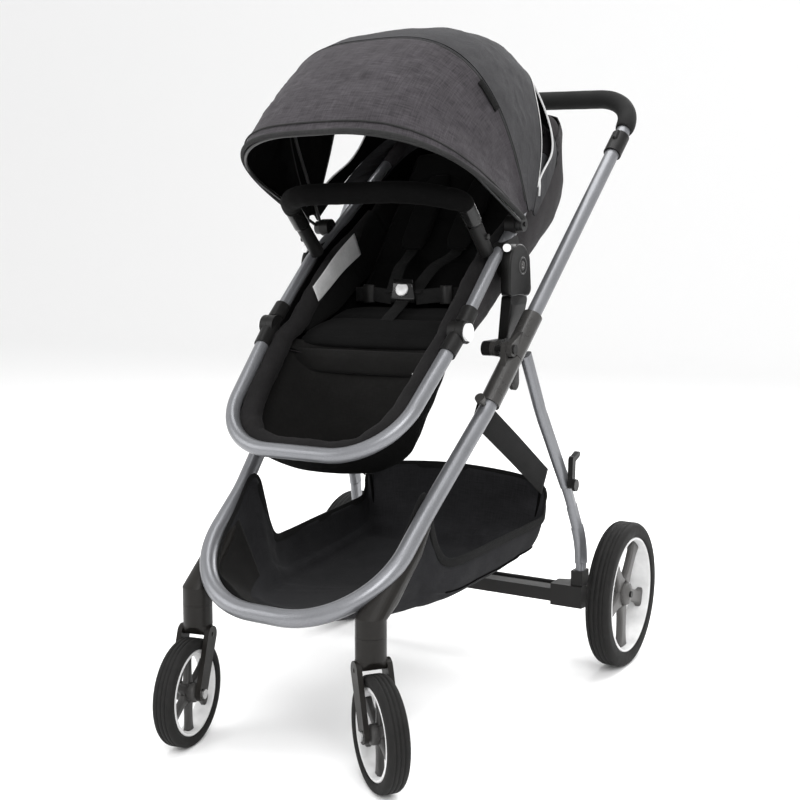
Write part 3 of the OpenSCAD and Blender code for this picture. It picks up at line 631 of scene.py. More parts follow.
def hood_point(angle, t, grow=0.0):
    """A point on the hood: angle round the pivot from straight ahead, t from -90 to 90 across, in degrees."""
    a, q = math.radians(angle), math.radians(t)
    reach = float(np.interp(angle, *HOOD_REACH))
    x = (HOOD_HALF_WIDTH + grow) * signed_power(math.sin(q), 2 / HOOD_ROUNDNESS)
    r = (reach + grow) * abs(math.cos(q)) ** (2 / HOOD_ROUNDNESS)
    return CANOPY_AXIS * (0, 1, 1) + np.array([x, -r * math.cos(a), r * math.sin(a)])


def even_t(angle, count, limit=89.2):
    """Values of t that space count points evenly along the section."""
    fine = np.linspace(-limit, limit, 721)
    p = np.array([hood_point(angle, t) for t in fine])
    length = np.concatenate([[0], np.cumsum(np.linalg.norm(np.diff(p, axis=0), axis=1))])
    return np.interp(np.linspace(0, length[-1], count), length, fine)


def edge_angle(edge, t):
    """The angle of an edge of a hood panel: a number, or a function that gives one for every t."""
    return edge(t) if callable(edge) else edge


def hood_panel(name, first, last, rows, dip, wrinkle, seed, material, columns):
    """A panel between two edges, slack and wrinkled between them."""
    grid_points = []
    for i in range(rows):
        u = i / (rows - 1)
        row = []
        for t in columns:
            start = edge_angle(first, t)
            angle = start + (edge_angle(last, t) - start) * u
            q = math.radians(t)
            top = abs(math.cos(q)) ** (2 / HOOD_ROUNDNESS)
            slack = max(0.0, math.sin(math.pi * u)) ** 0.8
            p = hood_point(angle, t)
            fold = ripple(p, 0.055, seed) + 0.5 * ripple(p * (1, 1, 2.2), 0.024, seed + 3)
            crease = math.exp(-((ripple(p * (1, 1.6, 1), 0.042, seed + 11)) / 0.10) ** 2)
            pull = math.sin(t * 0.55 + seed) * (1 - u) ** 2 + math.sin(t * 0.8 + seed * 2) * u ** 2
            depth = slack * (wrinkle * (fold + 0.35 * pull + 0.35 * crease) - dip * (0.35 + 0.65 * top))
            row.append(hood_point(angle, t, depth))
        grid_points.append(row)
    return grid(name, grid_points, "lining", thickness=0.0016, back=material)


def hood_line(name, edge, t0, t1, profile, material, grow=0.0):
    """A hem, welt or piping along an edge of the hood."""
    path = [hood_point(edge_angle(edge, t), t, grow) for t in even_t(90, 140) if t0 <= t <= t1]
    centre = CANOPY_AXIS * (0, 1, 1)
    ups = [unit(p - centre - X * p[0] * 0.35) for p in path]
    return sweep(name, path, profile, material, up=np.array(ups))


def zip_front(t):
    """The front side of the rear zip: it runs over the top and leans back as it comes down each side."""
    return 112 - 6 * math.exp(-((abs(t) - 58) / 15) ** 2)


def zip_rear(t):
    """The rear side of the zip. It is closed over the top and stands open down each side."""
    lens = max(0.0, math.sin(math.pi * min(1.0, max(0.0, (abs(t) - 38) / 47)))) ** 0.85
    return zip_front(t) + 0.6 + 23.5 * lens


def rear_hem(t):
    """The rear edge, held by the top of the seat back."""
    return 134.5 + 4.5 * soften(min(1.0, abs(t) / 90))


panel_t = even_t(42, 150)
hood_front = hood_panel("hood_front_panel", FRONT_BOW, MIDDLE_BOW, 48, 0.012, 0.0030, 1.3, "canopy",
                        panel_t)
hood_hem = hood_line("hem", FRONT_BOW + 0.2, -90, 90, circle(0.0040, 12, 0.9), "welt", -0.0016)
hood_hem_2 = hood_line("hem_2", FRONT_BOW + 3.0, -84, 84, circle(0.0016, 8, 0.7), "welt", -0.0006)
hood_front = join("hood_front_panel", [hood_front, hood_hem, hood_hem_2])
place(hood_front, None, ["canopy_front_panel"])
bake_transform(hood_front)

rear_t = even_t(95, 160)
hood_rear = hood_panel("hood_rear_panel", MIDDLE_BOW, zip_front, 44, 0.004, 0.0018, 7.7, "canopy_back",
                       rear_t)
welt = hood_line("welt", MIDDLE_BOW, -88, 88, rounded(0.0056, 0.0026, 0.0012, 4), "welt", 0.0002)
seam_shadow = hood_line("seam_shadow", MIDDLE_BOW + 1.1, -88, 88, rounded(0.0016, 0.0024, 0.0007, 3),
                        "lining", 0.0006)
zip_1 = hood_line("zip_1", zip_front, -86, 86, rounded(0.0030, 0.0034, 0.0012, 3), "piping", 0.0006)
zip_dark = hood_line("zip_dark", lambda t: zip_front(t) - 0.9, -86, 86, rounded(0.0040, 0.0030, 0.0012, 3),
                     "welt", 0.0004)
tag_at = [hood_point(MIDDLE_BOW - 1.6, t, 0.0012) for t in np.linspace(50, 63, 8)]
tag = sweep("tag", tag_at, rounded(0.015, 0.0012, 0.0004, 3), "label_black",
            up=np.array([unit(p - CANOPY_AXIS * (0, 1, 1) - X * p[0] * 0.35) for p in tag_at]))
hood_rear = join("hood_rear_panel", [hood_rear, welt, seam_shadow, zip_1, zip_dark])
place(hood_rear, None, ["canopy_rear_panel"])
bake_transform(hood_rear)
place(tag, "canopy_middle")

hood_tail = hood_panel("hood_tail", zip_rear, rear_hem, 26, 0.001, 0.0014, 4.1, "canopy_back", rear_t)
zip_2 = hood_line("zip_2", zip_rear, -86, 86, rounded(0.0030, 0.0034, 0.0012, 3), "piping", 0.0006)
hood_tail = join("hood_tail", [hood_tail, zip_2])
place(hood_tail, None)
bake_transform(hood_tail)

pulls = []
for s in SIDES:
    tip = hood_point(112, s * 83.5, 0.002)
    hang = [tip, tip - Z * 0.014 + X * s * 0.001, tip - Z * 0.030]
    pulls.append(sweep("zip_pull", hang, rounded(0.006, 0.002, 0.0009, 3), "piping", up=X))
place(join("zip_pulls", pulls), "seat")

# The gathered cloth between the hood's rear edge and the top of the seat back.
curtain_rows = []
for i in range(28):
    u = i / 27
    row = []
    for t in even_t(133, 130, 84):
        top = hood_point(rear_hem(t), t, -0.001)
        q = math.radians(t)
        low_x = 0.168 * signed_power(math.sin(q), 2 / 3.4)
        drop = 1 - abs(math.cos(q)) ** 0.5
        low = at(low_x * 1000, 694 - 175 * drop, 990 - 130 * drop)
        p = top + (low - top) * u
        out = unit(p - CANOPY_AXIS * (0, 1, 1))
        gather = 0.004 * math.sin(math.pi * u) * (1 + 0.6 * math.sin(t * 0.9))
        row.append(p + out * (gather + 0.002 * ripple(p, 0.03, 8.8)))
    curtain_rows.append(row)
curtain = grid("hood_curtain", curtain_rows, "canopy_back", thickness=0.0014, back="lining")
place(curtain, "seat")


# ---- Seat shell and footwell --------------------------------------------------------------------

# Directions up along the seat tubes and square to them into the seat, then tables in millimetres from the
# footrest hinge: the depth of the shell, the depth of the tube and half the width, each against s along it.
ALONG = np.array([0, 0.72, 0.69])
DEEP = np.array([0, 0.69, -0.72])
SHELL_S = [-25, -9, 42, 120, 211, 288, 362, 437, 480, 498, 505, 520, 545, 579, 590]
SHELL_H = [45, 59, 89, 123, 143, 167, 181, 201, 195, 183, 165, 126, 105, 82, 48]
TUBE_S = [-25, 0, 167, 262, 573, 590]
TUBE_DEPTH = [4, 2, 3, 19, 36, 38]
SHELL_HALF = [-25, 0, 400, 520, 556, 575, 586, 590]
SHELL_WIDTH = [166, 170, 171, 168, 160, 148, 128, 110]
# The same two directions for the footrest, which runs down from the hinge.
FOOT_ALONG = np.array([0, -0.7226, -0.6914])
FOOT_DEEP = np.array([0, 0.6914, -0.7226])


def shell_row(s, columns):
    """One U-shaped section of the seat, from the left tube down and up to the right tube."""
    h = float(np.interp(s, SHELL_S, SHELL_H))
    rim = float(np.interp(s, TUBE_S, TUBE_DEPTH))
    width = float(np.interp(s, SHELL_HALF, SHELL_WIDTH))
    row = []
    for q in columns:
        x = width * signed_power(math.sin(q), 2 / 3.6)
        depth = rim + (h - rim) * abs(math.cos(q)) ** (2 / 3.6)
        p = FOOTREST_AXIS * (0, 1, 1) + (ALONG * s + DEEP * depth) / 1000 + X * x / 1000
        swell = 2.2 * ripple(p, 0.09, 2.1) + 1.1 * ripple(p, 0.035, 5.3)
        row.append(p + (DEEP * swell * math.cos(q) + X * swell * math.sin(q)) / 1000)
    return row


def even_columns(count, power):
    """Angles across a rounded-box section that space its points evenly."""
    fine = np.linspace(-math.pi / 2, math.pi / 2, 901)
    p = np.array([(signed_power(math.sin(q), 2 / power), abs(math.cos(q)) ** (2 / power)) for q in fine])
    length = np.concatenate([[0], np.cumsum(np.linalg.norm(np.diff(p, axis=0), axis=1))])
    return np.interp(np.linspace(0, length[-1], count), length, fine)


shell_columns = even_columns(110, 3.6)
shell_s = np.concatenate([np.linspace(-25, 437, 80), np.linspace(440, 590, 46)])
shell = grid("seat_shell_fabric", [shell_row(s, shell_columns) for s in shell_s], "shell", thickness=0.0022,
             back="lining")

# The channel of cloth that holds the shell to the top of the seat tube.
top_tube = filleted([at(-161, 573, 927), at(-150, 668, 1008), at(150, 668, 1008), at(161, 573, 927)],
                    [0.060, 0.060])
_, wrap_side, wrap_up = frames_along(top_tube, -DEEP)
wrap_rings = [[p + (wrap_side[i] * math.cos(q) + wrap_up[i] * math.sin(q)) * 0.0118
               for q in np.linspace(0, 2 * math.pi, 24, endpoint=False)] for i, p in enumerate(top_tube)]
tube_channel = grid("tube_channel", wrap_rings, "shell", wrap_v=True, thickness=0.0012)
shell = join("seat_shell_fabric", [shell, tube_channel])
place(shell, "seat", ["seat_shell"])

# How deep the footwell is, against s down from the hinge, in millimetres.
WELL_S = [0, 38, 67, 100, 144, 167, 200, 235, 250, 256]
WELL_H = [42, 67, 88, 115, 140, 146, 120, 73, 30, 14]


def well_half(s):
    """Half the width between the footrest tubes, and the round corner at their foot."""
    straight = 178 - 0.094 * s
    over = max(0.0, s - 144) / 112
    return straight - 112 * (1 - math.sqrt(max(0.0, 1 - over ** 2))) if over < 1 else straight - 112


def well_row(s, columns):
    """One U-shaped section of the footwell, narrower at its floor."""
    h = float(np.interp(s, WELL_S, WELL_H))
    width = well_half(s)
    floor_share = float(np.interp(s, [0, 60, 120, 256], [0.96, 0.86, 0.74, 0.80]))
    row = []
    for q in columns:
        down = abs(math.cos(q)) ** (2 / 2.8)
        x = width * (1 - (1 - floor_share) * down ** 1.5) * signed_power(math.sin(q), 2 / 2.8)
        p = FOOTREST_AXIS * (0, 1, 1) + (FOOT_ALONG * s + FOOT_DEEP * (3 + (h - 3) * down) + X * x) / 1000
        swell = 2.6 * ripple(p, 0.07, 4.4) + 1.2 * ripple(p, 0.028, 9.1)
        row.append(p + FOOT_DEEP * swell * down / 1000 + X * swell * math.sin(q) / 1000)
    return row


well_columns = even_columns(96, 2.8)
well = grid("footwell_fabric", [well_row(s, well_columns) for s in np.linspace(0, 256, 64)], "flap",
            thickness=0.0022, back="lining")
place(well, None, ["footwell_cover"])
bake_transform(well)


# ---- Seat pads -------------------------------------------------------------------------------

def pad(name, path, half_w, r, channels, material, seed, sides=None):
    """A quilted pad along a path of (y, z) points in millimetres, crowned and soft edged, with sewn channels.
    sides gives the half width as a share of half_w at each u from 0 to 1."""
    line = resample(curve([at(0, y, z) for y, z in path], 16), 0.0035)
    length = np.linalg.norm(np.diff(line, axis=0), axis=1).sum()
    rows = len(line)
    tangent = np.gradient(line, axis=0)
    rings = []
    for i in range(rows):
        u = i / (rows - 1)
        out = unit(np.cross(X, tangent[i]))
        end = max(0.0, 1 - abs(2 * u - 1) ** 14) ** 0.5
        wide = half_w / 1000 * (sides(u) if sides else 1.0) * (0.95 + 0.05 * end)
        ring = []
        for k in range(80):
            q = 2 * math.pi * k / 80
            x = wide * signed_power(math.cos(q), 0.42)
            side = signed_power(math.sin(q), 0.7)
            crown = r / 1000 * (0.25 + 0.75 * end) * (1 - 0.35 * (x / wide) ** 4)
            p = line[i] + X * x
            groove = sum(math.exp(-((u - c) * length / 0.0050) ** 2) for c in channels) if side > 0 else 0.0
            pucker = 0.0009 * groove * math.sin(x * 420 + seed)
            puff = side * crown * (1 - 0.62 * min(1.0, groove)) + pucker
            ring.append(p + out * (puff + 0.0015 * ripple(p, 0.05, seed) * end))
        rings.append(ring)
    obj = grid(name, rings, material, wrap_v=True)
    cap_ends(obj, rows, 80)
    return obj


def puff_up(obj, pressure, cap):
    """Swells a closed pad with a short cloth simulation, moving no point more than cap metres."""
    remesh = obj.modifiers.new("remesh", "REMESH")
    remesh.mode = "VOXEL"
    remesh.voxel_size = 0.0055
    apply_modifiers(obj)
    before = np.array([v.co for v in obj.data.vertices], float)
    cloth_mod = obj.modifiers.new("cloth", "CLOTH")
    settings = cloth_mod.settings
    settings.use_pressure = True
    settings.uniform_pressure_force = pressure
    settings.effector_weights.gravity = 0
    settings.quality = 4
    settings.mass = 0.3
    settings.tension_stiffness = settings.compression_stiffness = 12
    cloth_mod.point_cache.frame_start = 1
    cloth_mod.point_cache.frame_end = 16
    scene = bpy.context.scene
    for f in range(1, 17):
        scene.frame_set(f)
    evaluated = obj.evaluated_get(bpy.context.evaluated_depsgraph_get())
    after = np.array([v.co for v in evaluated.data.vertices], float)
    obj.modifiers.clear()
    scene.frame_set(1)
    move = after - before
    size = np.linalg.norm(move, axis=1)[:, None]
    move *= np.minimum(1.0, cap / np.maximum(size, 1e-9))
    obj.data.vertices.foreach_set("co", (before + move).astype(np.float32).ravel())
    obj.data.polygons.foreach_set("use_smooth", [True] * len(obj.data.polygons))
    sub = obj.modifiers.new("smooth", "SUBSURF")
    sub.levels = sub.render_levels = 1
    return apply_modifiers(obj)


seat_cushion = pad("seat_cushion", [(246, 604), (262, 617), (300, 630), (350, 643), (402, 657)], 140, 10,
                   [0.10, 0.55], "pad", 1.7, lambda u: 1.0 + 0.03 * (1 - u))
puff_up(seat_cushion, 3.0, 0.004)
place(seat_cushion, "seat", ["seat_pad"])
back_pad = pad("back_pad", [(428, 676), (500, 766), (570, 857), (645, 953)], 137, 11, [0.22, 0.5, 0.78],
               "pad", 3.9)
puff_up(back_pad, 3.0, 0.005)
place(back_pad, "seat")

flap = pad("front_flap", [(243, 600), (239, 590), (240, 575), (243, 561)], 141, 4.2, [0.30, 0.84], "flap",
           5.5, lambda u: 1.0 - 0.06 * max(0.0, u - 0.7) / 0.3)
place(flap, "seat")
flap_tag = sweep("flap_tag", [at(92, 234.5, 566), at(110, 234.5, 566)], rounded(0.005, 0.0012, 0.0005, 3),
                 "label", up=-Y)
place(flap_tag, "seat")


def roll(name, path, r_side, r_up, up, seed, material):
    """A soft padded roll with puckers, thinner at its ends."""
    line = resample(path, 0.004)
    _, side, normal = frames_along(line, up)
    n = len(line)
    rings = []
    for i, p in enumerate(line):
        end = min(1.0, 9 * min(i, n - 1 - i) / n + 0.25)
        ring = []
        for q in np.linspace(0, 2 * math.pi, 28, endpoint=False):
            d = side[i] * math.cos(q) * r_side * end + normal[i] * math.sin(q) * r_up * end
            s = p + d
            pucker = 1 + 0.10 * ripple(s, 0.030, seed) + 0.06 * ripple(s * (1.6, 1, 1), 0.014, seed + 4)
            ring.append(p + d * pucker)
        rings.append(ring)
    obj = grid(name, rings, material, wrap_v=True)
    return cap_ends(obj, n, 28)


def well_rim(s, inset, depth):
    """A point on the footwell's left rim, s millimetres down from the hinge."""
    across = X * (well_half(s) - inset)
    return FOOTREST_AXIS * (0, 1, 1) + (FOOT_ALONG * s + FOOT_DEEP * depth + across) / 1000


def seat_rim(s, inset, depth):
    """A point on the seat's left rim, s millimetres up from the hinge."""
    tube = float(np.interp(s, TUBE_S, TUBE_DEPTH))
    half = float(np.interp(s, SHELL_HALF, SHELL_WIDTH))
    return FOOTREST_AXIS * (0, 1, 1) + (ALONG * s + DEEP * (tube + depth) + X * (half - inset)) / 1000


left_rim = [seat_rim(s, 22, 16) for s in (330, 260, 190, 120, 60, 20)]
left_rim += [well_rim(s, 24, 12) for s in (14, 50, 90, 130, 160, 190, 212, 228)]
front_rim = [well_rim(240, 0, 12) * (f, 1, 1) for f in (0.55, 0.0, -0.55)]
full_rim = curve(left_rim + front_rim + [flip(p, -1) for p in reversed(left_rim)], 8)
rim_up = -(DEEP + 0.2 * np.array([0, 0, -1]))
well_roll = roll("padded_rim", full_rim, 0.019, 0.013, rim_up, 3.3, "rim_roll")
place(well_roll, None)
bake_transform(well_roll)


def side_pad_x(s, v):
    """How far the inner face of a side pad is from the seat's middle, in millimetres, on the left."""
    half = float(np.interp(s, SHELL_HALF, SHELL_WIDTH))
    seam = math.exp(-((s - 205) / 5) ** 2) + math.exp(-((s - 330) / 5) ** 2)
    end = max(0.0, 1 - abs((s - 220) / 196) ** 8) * max(0.0, 1 - abs(2 * v - 1) ** 6)
    return half - 24 - 9 * end ** 0.5 + 3.5 * seam * end


side_pads = []
for s_side in SIDES:
    rows = []
    for s in np.linspace(26, 415, 84):
        tube = float(np.interp(s, TUBE_S, TUBE_DEPTH))
        h = float(np.interp(s, SHELL_S, SHELL_H))
        row = []
        for v in np.linspace(0, 1, 34):
            depth = tube + 18 + (h - tube - 62) * v
            p = FOOTREST_AXIS * (0, 1, 1) + (ALONG * s + DEEP * depth) / 1000
            x = s_side * side_pad_x(s, v) / 1000
            row.append(p + X * (x + s_side * 0.0016 * ripple(p, 0.045, 5.0 + s_side)))
        rows.append(row)
    side_pads.append(grid("side_pad", rows, "pad", thickness=0.007))
side_pads = join("side_pads", side_pads)
place(side_pads, "seat")

label_path = [at(-124.5, 280, 690), at(-125, 314, 713), at(-125.5, 358, 744), at(-124.5, 412, 776)]
label = sweep("side_label", resample(curve(label_path, 8), 0.006), rounded(0.036, 0.0012, 0.0005, 3), "label",
              up=X, scale=lambda u: (0.84 + 0.36 * u, 1))
place(label, "seat")


# ---- Harness ---------------------------------------------------------------------------------

def strap(name, path, width, up):
    """A length of webbing on a smooth curve through the given points."""
    return sweep(name, resample(curve(path, 10), 0.004), rounded(width, 0.0016, 0.00072, 3), "webbing", up=up)


def shoulder_pad_scale(t):
    """Tapered in width and thickness at both ends."""
    end = min(t, 1 - t)
    return min(1.0, 0.72 + 2.4 * end), 0.55 + 0.45 * min(1.0, 8 * end)


BACK_UP = unit([0, 206, 266])
BACK_OUT = unit([0, -266, 206])
PAD_FOOT = at(0, 434, 682)
BUCKLE_OUT = unit([0, -34, 12])
BUCKLE = at(0, 364, 696)
harness_parts = []
for s in SIDES:
    top = PAD_FOOT + BACK_UP * 0.272 + BACK_OUT * 0.0135 + X * s * 0.050
    low = PAD_FOOT + BACK_UP * 0.090 + BACK_OUT * 0.020 + X * s * 0.046
    reach = BUCKLE + X * s * 0.022 - Z * 0.004 + BUCKLE_OUT * 0.002
    middle = (low + reach) / 2 + BACK_OUT * 0.010
    waist = (top + low) / 2
    harness_parts.append(strap("shoulder_strap", [top, waist + BACK_OUT * 0.004, low, middle, reach], 0.025,
                               BACK_OUT))
    pad_points = [top - BACK_UP * 0.004, waist + BACK_OUT * 0.006, low + BACK_OUT * 0.003]
    harness_parts.append(sweep("shoulder_pad", resample(curve(pad_points, 12), 0.004),
                               rounded(0.052, 0.012, 0.0055, 5), "pad", up=BACK_OUT,
                               scale=shoulder_pad_scale))
    hip = at(s * 130, 416, 686)
    near = BUCKLE + X * s * 0.024 - Z * 0.012
    halfway = (hip + near) / 2 + Z * 0.004
    harness_parts.append(strap("waist_strap", [hip, halfway - Y * 0.012, near], 0.025, -Y))
    adjuster = [halfway - Y * 0.014 - X * s * 0.011, halfway - Y * 0.014 + X * s * 0.011]
    harness_parts.append(sweep("adjuster", adjuster, rounded(0.032, 0.006, 0.002, 4), "black", up=-Y))
crotch = [at(0, 300, 641), at(0, 322, 655), at(0, 346, 668), BUCKLE - Z * 0.018 - Y * 0.004]
harness_parts.append(strap("crotch_strap", crotch, 0.026, -Y))
buckle_path = [BUCKLE + Z * z for z in (-0.021, -0.012, 0.004, 0.019)]
harness_parts.append(sweep("buckle", buckle_path, rounded(0.050, 0.011, 0.004, 5), "gloss", up=BUCKLE_OUT,
                           scale=lambda t: (0.78 + 0.22 * math.sin(math.pi * min(1, t + 0.25)), 1)))
harness = join("harness_look", harness_parts)
place(harness, "seat", ["harness"])
disc_profile = [(0.0, 0.0), (0.0118, 0.0), (0.0120, 0.0035), (0.0112, 0.0052), (0.0, 0.0048)]
disc = lathe("buckle_disc", disc_profile, BUCKLE + BUCKLE_OUT * 0.0034, BUCKLE_OUT, "white", 48)
place(disc, "buckle_button", ["buckle_button"])


# ---- Hub covers --------------------------------------------------------------------------------

def cover(name, outline, x_in, x_out, edge, material):
    """A moulded cover from x_in out to x_out, rounded there; outline is (y, z) points. All in millimetres."""
    loop = curve([at(0, y, z) for y, z in outline], 6, closed=True)
    centre = at(0, *np.mean(outline, axis=0))
    reach = float(np.mean(np.linalg.norm(loop - centre, axis=1)))
    side = math.copysign(1, x_out)
    rows = []
    steps = [(x_in, 0.0)] + [(x_out - side * edge * (1 - math.sin(a)), edge * (1 - math.cos(a)))
                             for a in np.linspace(0, math.pi / 2, 6)]
    for x, inset in steps:
        rows.append(centre + (loop - centre) * (1 - inset / 1000 / reach) + X * x / 1000)
    obj = grid(name, rows, material, wrap_v=True)
    return cap_ends(obj, len(rows), len(loop))


HUB_OUTLINE = [(354, 691), (351, 720), (353, 748), (364, 766), (386, 774), (408, 770), (424, 754),
               (430, 730), (430, 691), (392, 690.5)]
EMBLEM_RING = [(0.0118, 0.0), (0.0121, 0.0010), (0.0134, 0.0013), (0.0147, 0.0010), (0.0150, 0.0)]
EMBLEM_FACE = [(0.0, 0.0012), (0.0070, 0.0011), (0.0082, 0.0)]
hub_covers, emblems = [], []
for s in SIDES:
    hub_covers.append(cover("hub_cover", HUB_OUTLINE, s * 190.5, s * 207, 3.5, "black"))
    centre = at(s * 206.8, 398, 738)
    emblems.append(lathe("emblem_ring", EMBLEM_RING, centre, X * s, "emblem", 64))
    emblems.append(lathe("emblem_face", EMBLEM_FACE, centre, X * s, "sleeve", 48))
hub_cover = join("hub_covers", hub_covers + emblems)
place(hub_cover, "seat_mount")


# ---- Arm bar ---------------------------------------------------------------------------------

def mirrored(points):
    """A polyline through points on the left and their mirror images on the right."""
    return [at(-p[0], p[1], p[2]) for p in points] + [at(*p) for p in reversed(points)]


bar_path = filleted(mirrored([(166, 300, 806), (166, 268, 838), (118, 200, 852)]),
                    [0.028, 0.100, 0.100, 0.028], 0.004)
bar_path = resample(bar_path, 0.004)
bar_t = np.linspace(0, 1, len(bar_path))
bar_in = bar_path[(bar_t > 0.072) & (bar_t < 0.928)]


def bar_scale(t):
    """The cover is gathered at its ends and has a slight waviness."""
    end = min(1.0, 14 * min(t, 1 - t))
    k = (0.82 + 0.18 * math.sqrt(end)) * (1 + 0.012 * math.sin(t * 90))
    return k, k


bar_parts = [sweep("bar_cover", bar_in, circle(0.0172, 28), "bar", scale=bar_scale)]
for first, last in ((0.0, 0.086), (0.914, 1.0)):
    end_path = bar_path[(bar_t >= first) & (bar_t <= last)]
    bar_parts.append(sweep("bar_end", end_path, circle(0.0142, 24), "gloss"))
place(join("armbar_look", bar_parts), "armbar", ["armbar"])


# ---- Basket ----------------------------------------------------------------------------------

# The left half of the basket's rim and of the edge of its floor, from the front middle to the rear middle.
RIM_HALF = [(0, -4, 226), (60, -3, 227), (100, 6, 244), (138, 24, 262), (156, 62, 302), (160, 100, 340),
            (162, 132, 378), (162, 148, 390), (161, 160, 380), (161, 172, 346), (162, 188, 304),
            (166, 212, 276), (174, 256, 271), (181, 360, 276), (187, 470, 281), (190, 526, 285),
            (189, 542, 300), (186, 547, 330), (172, 549, 343), (120, 550, 356), (0, 550, 363)]
FLOOR_HALF = [(0, 50, 209), (54, 54, 208), (86, 66, 207), (104, 86, 206), (116, 110, 205), (124, 130, 205),
              (130, 148, 204), (134, 162, 204), (137, 176, 204), (140, 190, 203), (144, 210, 203),
              (147, 235, 203), (153, 280, 204), (160, 370, 208), (166, 450, 215), (170, 492, 220),
              (169, 508, 222), (162, 516, 223), (150, 519, 224), (104, 521, 224), (0, 522, 224)]


def closed_half(points):
    """A closed loop, from points on the left side and their mirror images."""
    return [at(*p) for p in points] + [at(-p[0], p[1], p[2]) for p in reversed(points[1:-1])]


basket_rim = curve(closed_half(RIM_HALF), 8, closed=True)
basket_floor = curve(closed_half(FLOOR_HALF), 8, closed=True)
floor_centre = at(0, 270, 196)
basket_rows = []
for i in range(34):
    u = i / 33
    row = []
    for top, low in zip(basket_rim, basket_floor):
        if u < 0.55:
            v = u / 0.55
            bulge = 0.006 * math.sin(math.pi * v)
            p = top + (low - top) * v
            out = unit((p - floor_centre) * (1, 1, 0))
            p = p + out * bulge - Z * 0.003 * math.sin(math.pi * v)
            corner = soften(max(0.0, (v - 0.72) / 0.28))
            p = p + (floor_centre - low) * 0.05 * corner + Z * 0.006 * math.sin(math.pi * corner)
        else:
            v = (u - 0.55) / 0.45
            p = low + (floor_centre - low) * (0.05 + 0.93 * v)
            p = p - Z * 0.004 * math.sin(math.pi * v)
        sag = 0.0035 * ripple(p, 0.07, 6.6) + 0.0015 * ripple(p, 0.03, 2.2)
        row.append(p + unit((p - floor_centre) * (1, 1, 0.4)) * sag)
    basket_rows.append(row)
basket_shell = grid("basket_shell", basket_rows, "basket", wrap_v=True, thickness=0.0016)
rim_path = resample(np.vstack([basket_rim, basket_rim[:1]]), 0.006)
binding = sweep("binding", rim_path[:-1], rounded(0.0035, 0.014, 0.0014, 4), "binding", closed=True)
piping_half = [(180, 541, 332), (175, 541, 300), (166, 538, 262), (146, 532, 230), (116, 524, 214),
               (60, 519, 210), (0, 518, 209)]
piping_path = [at(*p) for p in piping_half] + [at(-p[0], p[1], p[2]) for p in reversed(piping_half[:-1])]
rear_piping = sweep("rear_piping", resample(curve(piping_path, 8), 0.008), circle(0.0026, 8), "lining")
lip_rows = []
half_count = len(basket_rim)
for k in list(range(half_count - 40, half_count)) + list(range(0, 41)):
    top, low = basket_rim[k % half_count], basket_floor[k % half_count]
    lip_rows.append([top + (low - top) * v + Z * 0.0022 for v in np.linspace(0.04, 0.86, 9)])
front_lip = grid("front_lip", lip_rows, "flap", thickness=0.0018)
seam_sides = []
seam_row = np.array(basket_rows[13])
for s in SIDES:
    along = seam_row[:, 1] - SWIVEL_Y
    on_side = seam_row[(seam_row[:, 0] * s > 0.1) & (along > 0.225) & (along < 0.515)]
    path = resample(on_side + X * s * 0.0006, 0.008)
    seam_sides.append(sweep("side_seam", path, circle(0.0016, 8), "lining"))
basket_parts = [basket_shell, binding, rear_piping, front_lip] + seam_sides
for s in SIDES:
    band_path = resample([at(s * 182, 282, 512), at(s * 184, 420, 430), at(s * 187, 545, 352)], 0.008)
    basket_parts.append(sweep("side_band", band_path, rounded(0.0018, 0.050, 0.0008, 3), "binding"))
basket_look = join("basket_fabric_look", basket_parts)
place(basket_look, None, ["basket"])
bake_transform(basket_look)


# ---- Foam grip ---------------------------------------------------------------------------------

handle_run = [at(267.9, 690.8, 979.5), at(277, 745, 1042)]
grip_corners = [flip(p, -1) for p in handle_run] + [at(0, 756, 1054)] + handle_run[::-1]
grip_path = resample(filleted(grip_corners, [0.074, 0.9, 0.074]), 0.004)


def grip_scale(t):
    """Rounded ends, and the slight unevenness of skinned foam."""
    end = min(1.0, 60 * min(t, 1 - t))
    k = (0.90 + 0.10 * math.sqrt(end)) * (1 + 0.004 * math.sin(t * 60) + 0.003 * math.sin(t * 143))
    return k, k


grip = sweep("foam_grip_look", grip_path, circle(0.017, 36), "grip", scale=grip_scale)
place(grip, "handle", ["foam_grip"])


# ---- Floor, lights and camera ---------------------------------------------------------------------

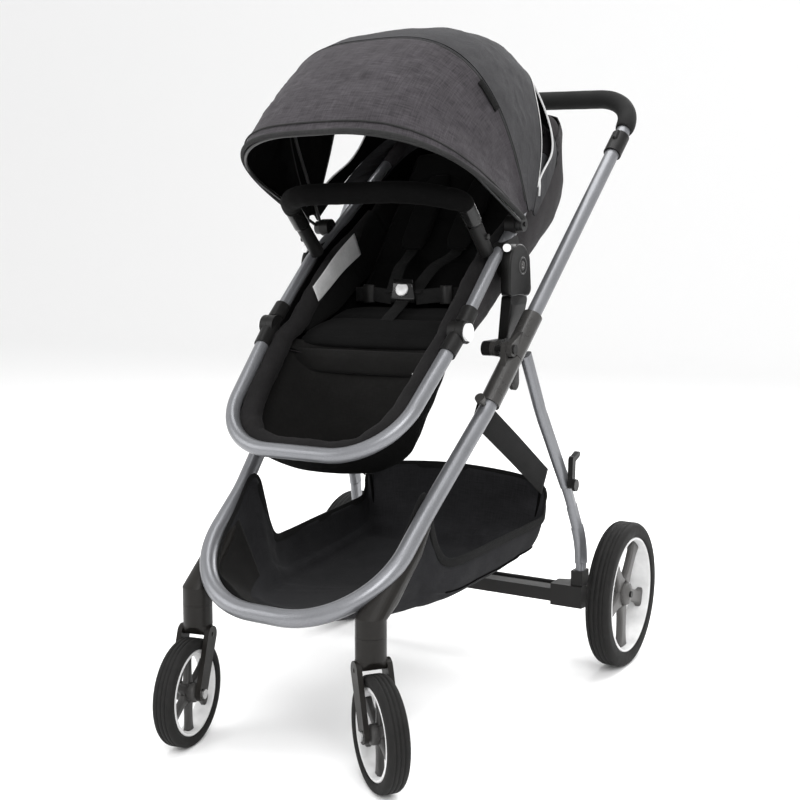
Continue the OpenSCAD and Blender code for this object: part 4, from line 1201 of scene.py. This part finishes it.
def floor():
    """A pale floor that sweeps up into a wall far behind."""
    profile = [(-7.0, 0.0), (6.0, 0.0)]
    profile += [(6.0 + 2.5 * math.sin(a), 2.5 - 2.5 * math.cos(a)) for a in np.linspace(0.1, math.pi / 2, 14)]
    profile.append((8.5, 9.0))
    verts = [(x, y, z) for y, z in profile for x in (-14.0, 14.0)]
    faces = [(2 * i, 2 * i + 1, 2 * i + 3, 2 * i + 2) for i in range(len(profile) - 1)]
    mesh = bpy.data.meshes.new("floor")
    mesh.from_pydata(verts, [], faces)
    mesh.polygons.foreach_set("use_smooth", [True] * len(faces))
    obj = bpy.data.objects.new("floor", mesh)
    bpy.context.scene.collection.objects.link(obj)
    s = Shader("floor_pale", Roughness=0.9, Specular_IOR_Level=0.1)
    s.bsdf.inputs["Base Color"].default_value = (0.95, 0.95, 0.95, 1)
    mesh.materials.append(s.mat)


def area_light(name, place_at, look_at, size, power):
    data = bpy.data.lights.new(name, "AREA")
    data.shape = "RECTANGLE"
    data.size, data.size_y = size
    data.energy = power
    obj = bpy.data.objects.new(name, data)
    obj.location = place_at
    obj.rotation_euler = (Vector(look_at) - Vector(place_at)).to_track_quat("-Z", "Y").to_euler()
    bpy.context.scene.collection.objects.link(obj)


def camera():
    data = bpy.data.cameras.new("camera")
    data.lens = 53.3
    data.sensor_width = 36
    obj = bpy.data.objects.new("camera", data)
    azimuth, elevation, distance = math.radians(30.68), math.radians(6.76), 1.9804
    target = Vector((0.03, -0.0375, 0.515))
    away = Vector((math.sin(azimuth) * math.cos(elevation), -math.cos(azimuth) * math.cos(elevation),
                   math.sin(elevation)))
    obj.location = target + away * distance
    obj.rotation_euler = (-away).to_track_quat("-Z", "Y").to_euler()
    bpy.context.scene.collection.objects.link(obj)
    bpy.context.scene.camera = obj


floor()
area_light("key", (2.2, -2.6, 3.0), (0, 0, 0.5), (2.2, 2.2), 110)
area_light("fill", (-2.8, -2.4, 1.8), (0, 0, 0.5), (2.4, 2.4), 55)
area_light("top", (0.2, 0.4, 3.4), (0, 0, 0.4), (2.6, 2.6), 90)
area_light("back", (0.6, 3.0, 2.2), (0, 0, 0.6), (2.0, 2.0), 60)
world = bpy.data.worlds.new("studio")
world.use_nodes = True
world.node_tree.nodes["Background"].inputs["Color"].default_value = (1, 1, 1, 1)
world.node_tree.nodes["Background"].inputs["Strength"].default_value = 0.9
bpy.context.scene.world = world
bpy.context.scene.view_settings.view_transform = "Standard"
camera()
